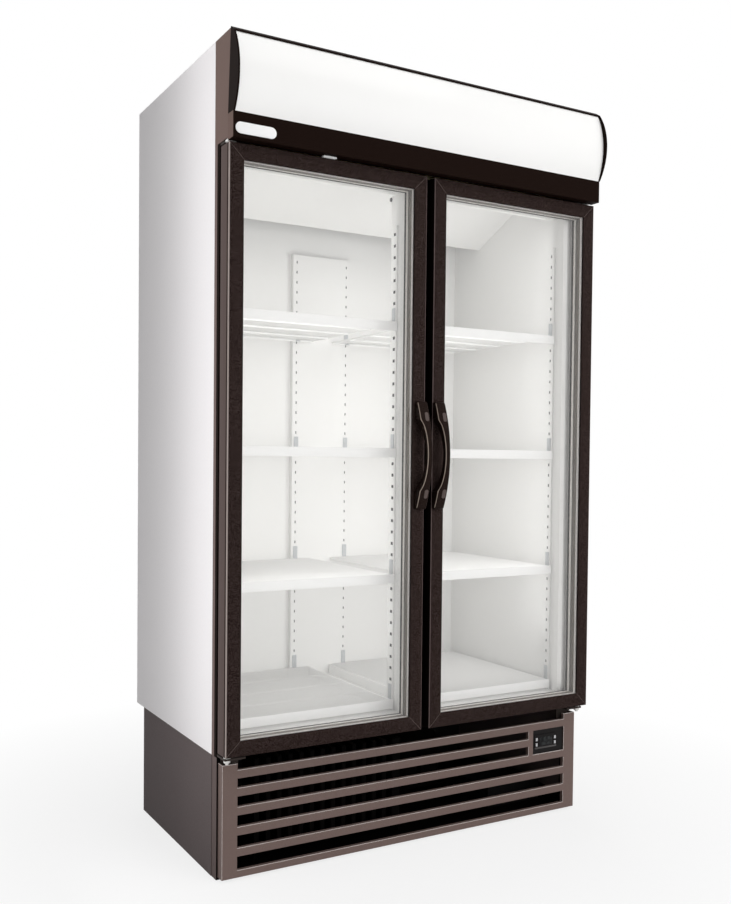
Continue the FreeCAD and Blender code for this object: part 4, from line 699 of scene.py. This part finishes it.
REAR_COLUMN = 0.087
REAR_SHEET = 0.0015
REAR_HALF_WIDTH = 0.003
SLOT_SHADE = 0.0003
REAR_HALF_HEIGHT = 1.2 * SLOT_HALF_HEIGHT
# Painted shade: thin dark plates behind the rear panel's slots stand for the shade in the hollow behind them.
slot_dark = coated("slot_dark", (0.07, 0.066, 0.062), (0.10, 0.095, 0.09), grain=(300, 0.4),
                   roughness=(0.8, 0.05), relief=0.0, edge=0.0002, Specular_IOR_Level=0.1)
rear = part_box("rear_slot_panel")[0].y + REAR_SHEET
slot_shade_plates = bmesh.new()
for step in range(SLOT_COUNT):
    z = SLOT_FIRST + SLOT_PITCH * step
    for x in (-REAR_COLUMN, REAR_COLUMN):
        block(slot_shade_plates, (x - REAR_HALF_WIDTH, rear, z - REAR_HALF_HEIGHT),
              (x + REAR_HALF_WIDTH, rear + 2 * SLOT_SHADE, z + REAR_HALF_HEIGHT))
add_piece("slot_shade_plates", slot_shade_plates, slot_dark, "cabinet")
clip_zinc = coated("clip_zinc", (0.50, 0.515, 0.53), (0.42, 0.435, 0.45), grain=(220, 0.5),
                   roughness=(0.38, 0.1), relief=0.05, edge=0.0006)
dress(clip_zinc, "shelf_clips")

CLIP_SHEET = 0.0025
CLIP_HALF_WIDTH = 0.007
CLIP_HIGH = 0.038
CLIP_LOW = 0.006
CLIP_WALL = (0.516, -0.1955)
CLIP_POST = (0.032, -0.1935)
CLIP_REAR = 0.2915
CLIP_COLUMNS = (REAR_COLUMN, 0.440)
CLIP_EDGE = 0.0006
deck_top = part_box("floor_decks")[1].z
clip_foot, clip_head = deck_top - CLIP_LOW, deck_top + CLIP_HIGH
deck_clips = bmesh.new()
for side in (-1, 1):
    for face, line, way in ((*CLIP_WALL, -1), (*CLIP_POST, 1)):
        near, far = sorted((side * face, side * (face + way * CLIP_SHEET)))
        block(deck_clips, (near, line - CLIP_HALF_WIDTH, clip_foot), (far, line + CLIP_HALF_WIDTH, clip_head))
    for column in CLIP_COLUMNS:
        block(deck_clips, (side * column - CLIP_HALF_WIDTH, CLIP_REAR - CLIP_SHEET, clip_foot),
              (side * column + CLIP_HALF_WIDTH, CLIP_REAR, clip_head))
soften(deck_clips, list(deck_clips.edges), CLIP_EDGE, 2)
add_piece("deck_clips", deck_clips, clip_zinc, "cabinet")


# Shelves and floor decks: fine white coated wires welded to cross rods, with a sheet lip along the front.
# Each shelf lies on four clips; the decks stand on their side rails and are held by the lowest clips.

WIRE_RADIUS = 0.0016
WIRE_PITCH = 0.0080
ROD_RADIUS = 0.003
LIP_HEIGHT = 0.025
LIP_THICKNESS = 0.002
LIP_EDGE = 0.0009
ROD_PLACES = (0.02, 0.27, 0.52, 0.77, 0.99)
shelf_wire = coated("shelf_wire", (0.91, 0.905, 0.895), (0.86, 0.855, 0.845), grain=(260, 0.3),
                    roughness=(0.34, 0.1), relief=0.05, edge=0.0005, Specular_IOR_Level=0.25)


def wire_grid(shape, left, right, front, back, top):
    """Wires from front to back on cross rods, in a rim, behind a lip with a rounded top."""
    count = round((right - left - 2 * ROD_RADIUS) / WIRE_PITCH)
    pitch = (right - left - 2 * ROD_RADIUS) / count
    wire_z = top - WIRE_RADIUS
    rod_z = wire_z - WIRE_RADIUS - ROD_RADIUS
    for step in range(1, count):
        x = left + ROD_RADIUS + pitch * step
        rod(shape, (x, front + LIP_THICKNESS, wire_z), (x, back, wire_z), WIRE_RADIUS, 6)
    for share in ROD_PLACES:
        y = front + LIP_THICKNESS + (back - front) * share
        rod(shape, (left, y, rod_z), (right, y, rod_z), ROD_RADIUS, 8)
    for x in (left + ROD_RADIUS, right - ROD_RADIUS):
        rim_z = wire_z - ROD_RADIUS
        rod(shape, (x, front + LIP_THICKNESS, rim_z), (x, back, rim_z), ROD_RADIUS, 8)
    lip = block(shape, (left, front, top - LIP_HEIGHT), (right, front + LIP_THICKNESS, top))
    soften(shape, [edge for edge in edges_of(lip) if abs(run_of(edge).x) > 0.1], LIP_EDGE, 2)


for bay in ("left", "right"):
    for tier in ("lower", "middle", "upper"):
        node = f"shelf_{bay}_{tier}"
        low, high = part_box(node)
        shelf = bmesh.new()
        wire_grid(shelf, low.x, high.x, low.y, high.y, high.z)
        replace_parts(add_piece(f"{node}_wires", shelf, shelf_wire, "cabinet"), node)

deck_low, deck_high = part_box("floor_decks")
shelf_low, shelf_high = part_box("shelf_right_lower")
decks = bmesh.new()
for left, right in ((-shelf_high.x, -shelf_low.x), (shelf_low.x, shelf_high.x)):
    wire_grid(decks, left, right, deck_low.y, deck_high.y, deck_high.z)
    for x in (left, right - LIP_THICKNESS):
        block(decks, (x, deck_low.y + LIP_THICKNESS, deck_low.z),
              (x + LIP_THICKNESS, deck_high.y, deck_high.z - 2 * ROD_RADIUS))
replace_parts(add_piece("deck_wires", decks, shelf_wire, "cabinet"), "floor_decks")


# Evaporator behind its sloping cover: finned coil, two motors on straps and two plastic fans.
# The fins are bare aluminium, the motors grey steel and the blades dark grey.

fin_aluminium = coated("fin_aluminium", (0.60, 0.61, 0.62), (0.50, 0.51, 0.52), grain=(350, 0.5),
                       roughness=(0.32, 0.1), relief=0.1, edge=0.0005, Metallic=0.9)
dress(fin_aluminium, "evaporator_coil")
motor_steel = coated("motor_steel", (0.42, 0.42, 0.42), (0.34, 0.34, 0.34), grain=(260, 0.5),
                     roughness=(0.36, 0.12), relief=0.08, edge=0.001, Metallic=0.85)
dress(motor_steel, "evaporator_fan_motors")
fan_plastic = coated("fan_plastic", (0.11, 0.115, 0.12), (0.15, 0.155, 0.16), grain=(300, 0.4),
                     roughness=(0.42, 0.1), relief=0.08, edge=0.001)
dress(fan_plastic, "evaporator_fan_left", "evaporator_fan_right")


# Base: a pressed grille and side panels in taupe paint, the grille's folds with painted highlights and the side
# panels in a darker copy of the paint as painted shade; a black pan whose corner posts are taupe outside, and a
# black rear cover with pressed louvre hoods. The machinery inside is black too.

taupe_paint = coated("taupe_paint", (0.142, 0.099, 0.088), (0.205, 0.154, 0.140), grain=(640, 0.6),
                     roughness=(0.42, 0.1), relief=0.1, edge=0.0012, Specular_IOR_Level=0.12)
taupe_tree = taupe_paint.node_tree
FOLD_RADIUS = 0.0034
FOLD_HIGHLIGHT_WAY = (-0.6, 0, 0.8)
PAN_SIDE = 0.0003
# Painted highlight: edges whose rounded normal turns up and to the left are made pale.
fold = add_node(taupe_tree, "ShaderNodeBevel", {"samples": 6}, Radius=FOLD_RADIUS)
flat = add_node(taupe_tree, "ShaderNodeNewGeometry").outputs["True Normal"]
turned = add_node(taupe_tree, "ShaderNodeVectorMath", {"operation": "SUBTRACT"}, n0=fold.outputs[0], n1=flat)
lifted = add_node(taupe_tree, "ShaderNodeVectorMath", {"operation": "DOT_PRODUCT"},
                  n0=turned.outputs["Vector"], n1=FOLD_HIGHLIGHT_WAY)
fold_highlight = add_node(taupe_tree, "ShaderNodeMapRange", Value=lifted.outputs["Value"], From_Min=0.12, From_Max=0.4)
overlay(taupe_paint, fold_highlight.outputs[0], (0.86, 0.79, 0.76))
dress(taupe_paint, "front_grille")
# Painted shade: the side panels take a darker copy of the grille's taupe paint.
shaded_side_taupe = coated("shaded_side_taupe", (0.098, 0.078, 0.078), (0.150, 0.124, 0.122), grain=(640, 0.5),
                    roughness=(0.45, 0.1), relief=0.1, edge=0.0012, Specular_IOR_Level=0.03)
dress(shaded_side_taupe, "base_side_panels")
base_black = coated("base_black", (0.0022, 0.0018, 0.0016), (0.005, 0.0043, 0.004), grain=(420, 0.5),
                    roughness=(0.55, 0.1), relief=0.05, edge=0.001, Specular_IOR_Level=0.03)
dress(base_black, "compressor", "condenser", "condenser_fan", "condenser_fan_motor")
cover_black = coated("cover_black", (0.019, 0.018, 0.018), (0.034, 0.033, 0.033), grain=(420, 0.5),
                     roughness=(0.45, 0.1), relief=0.1, edge=0.001, Specular_IOR_Level=0.12)
dress(cover_black, "rear_cover")
pan_coat = coated("pan_coat", (0.0022, 0.0018, 0.0016), (0.005, 0.0043, 0.004), grain=(420, 0.5),
                  roughness=(0.55, 0.1), relief=0.05, edge=0.001, Specular_IOR_Level=0.03)
pan_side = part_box("base_pan")[1].x
pan_tree = pan_coat.node_tree
across, depth, _ = places(pan_tree)
outward = reckon(pan_tree, "GREATER_THAN", reckon(pan_tree, "ABSOLUTE", across), pan_side - PAN_SIDE)
forward = reckon(pan_tree, "LESS_THAN", depth, liner_low.y + LINER_SHEET)
overlay(pan_coat, reckon(pan_tree, "MULTIPLY", outward, forward), (0.125, 0.096, 0.092))
dress(pan_coat, "base_pan")

LOUVRE_LENGTH = 0.380
LOUVRE_MIDDLE = 0.28015
LOUVRE_RISE = 0.052
LOUVRE_HEIGHT = 0.008
LOUVRE_PITCH = 0.024
LOUVRE_COUNT = 9
HOOD_REACH = 0.009
HOOD_SHEET = 0.0012
HOOD_DROP = 0.005


def slab(shape, outline, left, right):
    """A solid with one outline all along X, added to a shape."""
    made = bmesh.new()
    pull(made, outline, left, right)
    bmesh.ops.recalc_face_normals(made, faces=made.faces)
    join(shape, made)


cover_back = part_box("rear_cover")[1].y
louvre_hoods = bmesh.new()
for step in range(LOUVRE_COUNT):
    foot = LOUVRE_RISE + LOUVRE_PITCH * step
    brow = foot + LOUVRE_HEIGHT + HOOD_SHEET
    chin = foot - HOOD_DROP
    hood = [(cover_back, brow), (cover_back + HOOD_REACH, chin), (cover_back + HOOD_REACH - HOOD_SHEET, chin),
            (cover_back, brow - 2 * HOOD_SHEET)]
    cheek = [(cover_back, brow), (cover_back + HOOD_REACH, chin), (cover_back, chin)]
    for middle_x in (-LOUVRE_MIDDLE, LOUVRE_MIDDLE):
        left, right = middle_x - LOUVRE_LENGTH / 2, middle_x + LOUVRE_LENGTH / 2
        slab(louvre_hoods, hood, left, right)
        slab(louvre_hoods, cheek, left - HOOD_SHEET, left)
        slab(louvre_hoods, cheek, right, right + HOOD_SHEET)
add_piece("louvre_hoods", louvre_hoods, cover_black, "cabinet")
drain_plastic = coated("drain_plastic", (0.0045, 0.0042, 0.0042), (0.009, 0.0085, 0.0085), grain=(240, 0.4),
                       roughness=(0.5, 0.1), relief=0.06, edge=0.001, Specular_IOR_Level=0.05)
dress(drain_plastic, "drain_pan")


# Controller in the grille's window: a black moulded block with a dark display
# between two pairs of silver push buttons.

control_plastic = coated("control_plastic", (0.006, 0.005, 0.005), (0.014, 0.012, 0.012), grain=(500, 0.5),
                         roughness=(0.35, 0.1), relief=0.08, edge=0.0008, Specular_IOR_Level=0.1)
dress(control_plastic, "controller")
DISPLAY_HALF_WIDTH = 0.024
DISPLAY_HALF_HEIGHT = 0.0125
DISPLAY_THICKNESS = 0.0008
LEDGE_REACH = 0.003
LEDGE_HEIGHT = 0.005
LEDGE_OVERHANG = 0.003
LEDGE_DROP = 0.0205
LEDGE_EDGE = 0.0006
DISPLAY_EDGE = 0.0003
BUTTON_PROUD = 0.002
key_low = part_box("button_left_lower")[0]
key_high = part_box("button_right_upper")[1]
block_middle = Vector(((key_low.x + key_high.x) / 2, key_low.y + BUTTON_PROUD, (key_low.z + key_high.z) / 2))
screen_half = Vector((DISPLAY_HALF_WIDTH, 0, DISPLAY_HALF_HEIGHT))
display_glass = coated("display_glass", (0.008, 0.008, 0.0085), (0.05, 0.055, 0.055), grain=(130, 0.5),
                       roughness=(0.15, 0.05), relief=0.0, edge=0.0004, Specular_IOR_Level=0.1)
control_display = bmesh.new()
screen = block(control_display, block_middle - screen_half - Vector((0, DISPLAY_THICKNESS, 0)),
               block_middle + screen_half)
soften(control_display, edges_of(screen), DISPLAY_EDGE, 2)
add_piece("control_display", control_display, display_glass, "cabinet")
ledge_plastic = coated("ledge_plastic", (0.060, 0.055, 0.054), (0.085, 0.080, 0.078), grain=(400, 0.4),
                       roughness=(0.35, 0.1), relief=0.06, edge=0.0006, Specular_IOR_Level=0.2)
control_ledge = bmesh.new()
ledge_back = block_middle.y + BUTTON_PROUD
ledge_low = block_middle.z - LEDGE_DROP
ledge = block(control_ledge, (key_low.x - LEDGE_OVERHANG, ledge_back - LEDGE_REACH, ledge_low),
              (key_high.x + LEDGE_OVERHANG, ledge_back, ledge_low + LEDGE_HEIGHT))
soften(control_ledge, edges_of(ledge), LEDGE_EDGE, 2)
add_piece("control_ledge", control_ledge, ledge_plastic, "cabinet")
button_silver = coated("button_silver", (0.50, 0.50, 0.51), (0.42, 0.42, 0.43), grain=(500, 0.4),
                       roughness=(0.3, 0.1), relief=0.05, edge=0.0008, Metallic=0.4)
buttons = [f"button_{hand}_{level}" for hand in ("left", "right") for level in ("upper", "lower")]
dress(button_silver, *buttons)


# Floor and light: a white studio floor that keeps a soft shadow, one narrow soft light by the left side,
# one in front, one above, one behind and two weak ones in each bay. The white surround is brighter
# in front than behind.

floor_paint = bpy.data.materials.new("studio_floor")
floor_paint.use_nodes = True
floor_tree = floor_paint.node_tree
floor_tree.nodes.remove(floor_tree.nodes["Principled BSDF"])
floor_place = add_node(floor_tree, "ShaderNodeTexCoord").outputs["Object"]
floor_far = add_node(floor_tree, "ShaderNodeVectorMath", {"operation": "LENGTH"}, n0=floor_place)
floor_blend = add_node(floor_tree, "ShaderNodeMapRange", Value=floor_far.outputs["Value"],
                       From_Min=0.6, From_Max=1.6, To_Min=0.78, To_Max=1.0)


def seen_rays(tree):
    """One for camera, glossy and transmission rays, zero for the rays that carry light."""
    rays = add_node(tree, "ShaderNodeLightPath").outputs
    sight = reckon(tree, "MAXIMUM", rays["Is Camera Ray"], rays["Is Glossy Ray"])
    return reckon(tree, "MAXIMUM", sight, rays["Is Transmission Ray"])


floor_share = reckon(floor_tree, "MULTIPLY", floor_blend.outputs[0], seen_rays(floor_tree))
floor_matt = add_node(floor_tree, "ShaderNodeBsdfDiffuse", Color=(0.85, 0.85, 0.85, 1))
floor_white = add_node(floor_tree, "ShaderNodeEmission", Color=(1, 1, 1, 1), Strength=1.0)
floor_both = add_node(floor_tree, "ShaderNodeMixShader", n0=floor_share, n1=floor_matt.outputs[0],
                      n2=floor_white.outputs[0])
floor_tree.links.new(floor_both.outputs[0], floor_tree.nodes["Material Output"].inputs["Surface"])
FLOOR_HALF_SIZE = 14
floor_shape = bmesh.new()
bmesh.ops.create_grid(floor_shape, x_segments=1, y_segments=1, size=FLOOR_HALF_SIZE)
floor_mesh = bpy.data.meshes.new("studio_floor")
floor_shape.to_mesh(floor_mesh)
floor_shape.free()
floor_mesh.materials.append(floor_paint)
floor = bpy.data.objects.new("studio_floor", floor_mesh)
bpy.context.collection.objects.link(floor)

BRIGHT_WAY = (0.6, -0.8, 0)
surround = bpy.data.worlds.new("studio_surround")
bpy.context.scene.world = surround
surround.use_nodes = True
sky_tree = surround.node_tree
sky_light = sky_tree.nodes["Background"]
sky_light.inputs["Color"].default_value = (1, 1, 1, 1)
sky_way = add_node(sky_tree, "ShaderNodeTexCoord").outputs["Generated"]
sky_side = add_node(sky_tree, "ShaderNodeVectorMath", {"operation": "DOT_PRODUCT"}, n0=sky_way,
                    n1=BRIGHT_WAY)
sky_front = add_node(sky_tree, "ShaderNodeMapRange", Value=sky_side.outputs["Value"],
                     From_Min=-0.1, From_Max=0.7, To_Min=0.17, To_Max=0.95)
sky_tree.links.new(sky_front.outputs[0], sky_light.inputs["Strength"])
sky_white = add_node(sky_tree, "ShaderNodeBackground", Color=(1, 1, 1, 1), Strength=1.0)
sky_both = add_node(sky_tree, "ShaderNodeMixShader", n0=seen_rays(sky_tree), n1=sky_light.outputs[0],
                    n2=sky_white.outputs[0])
sky_tree.links.new(sky_both.outputs[0], sky_tree.nodes["World Output"].inputs["Surface"])


def soft_light(name, spot, target, width, height, power, mirrored=False):
    """A rectangular studio light that faces a point, and may be mirrored in glossy edges."""
    lamp = bpy.data.lights.new(name, "AREA")
    lamp.shape = "RECTANGLE"
    lamp.size, lamp.size_y = width, height
    lamp.energy = power
    stand = bpy.data.objects.new(name, lamp)
    stand.location = spot
    stand.rotation_euler = (Vector(target) - Vector(spot)).to_track_quat("-Z", "Y").to_euler()
    stand.visible_camera = False
    stand.visible_glossy = mirrored
    stand.visible_transmission = False
    bpy.context.collection.objects.link(stand)


soft_light("left_soft_light", (-0.91, -0.25, 1.25), (-0.56, -0.25, 1.25), 0.3, 2.2, 3.9, mirrored=True)
soft_light("front_soft_light", (1.1, -3.4, 1.7), (0, 0, 1.0), 2.2, 2.2, 42)
soft_light("top_soft_light", (0.2, -1.4, 3.6), (0, -0.2, 0.5), 2.0, 1.6, 8, mirrored=True)
soft_light("back_soft_light", (0.8, 3.2, 2.2), (0, 0.4, 1.0), 2.2, 2.2, 26)
BAY_MIDDLE = 0.274
for bay, middle_x in (("left", -BAY_MIDDLE), ("right", BAY_MIDDLE)):
    soft_light(f"{bay}_bay_light", (middle_x, -0.208, 1.12), (middle_x, 0.3, 1.12), 0.44, 1.22, 1.65)
    soft_light(f"{bay}_lip_light", (middle_x, -0.262, 1.05), (middle_x, 0.3, 1.05), 0.50, 1.36, 0.70)


# Camera: at half the freezer's height, to the left of the front, as the object is photographed.
# The lens is shifted a little, and the colours are shown as they are, with no film curve.

lens = bpy.data.cameras.new("photo_camera")
lens.sensor_width = 36
lens.lens = 40.06
lens.shift_y = 0.0371
camera = bpy.data.objects.new("photo_camera", lens)
camera.location = (-1.46747, -2.53108, 1.02734)
camera.rotation_euler = [math.radians(turn) for turn in (88.530, -0.558, -30.053)]
bpy.context.collection.objects.link(camera)
bpy.context.scene.camera = camera
bpy.context.scene.view_settings.view_transform = "Standard"
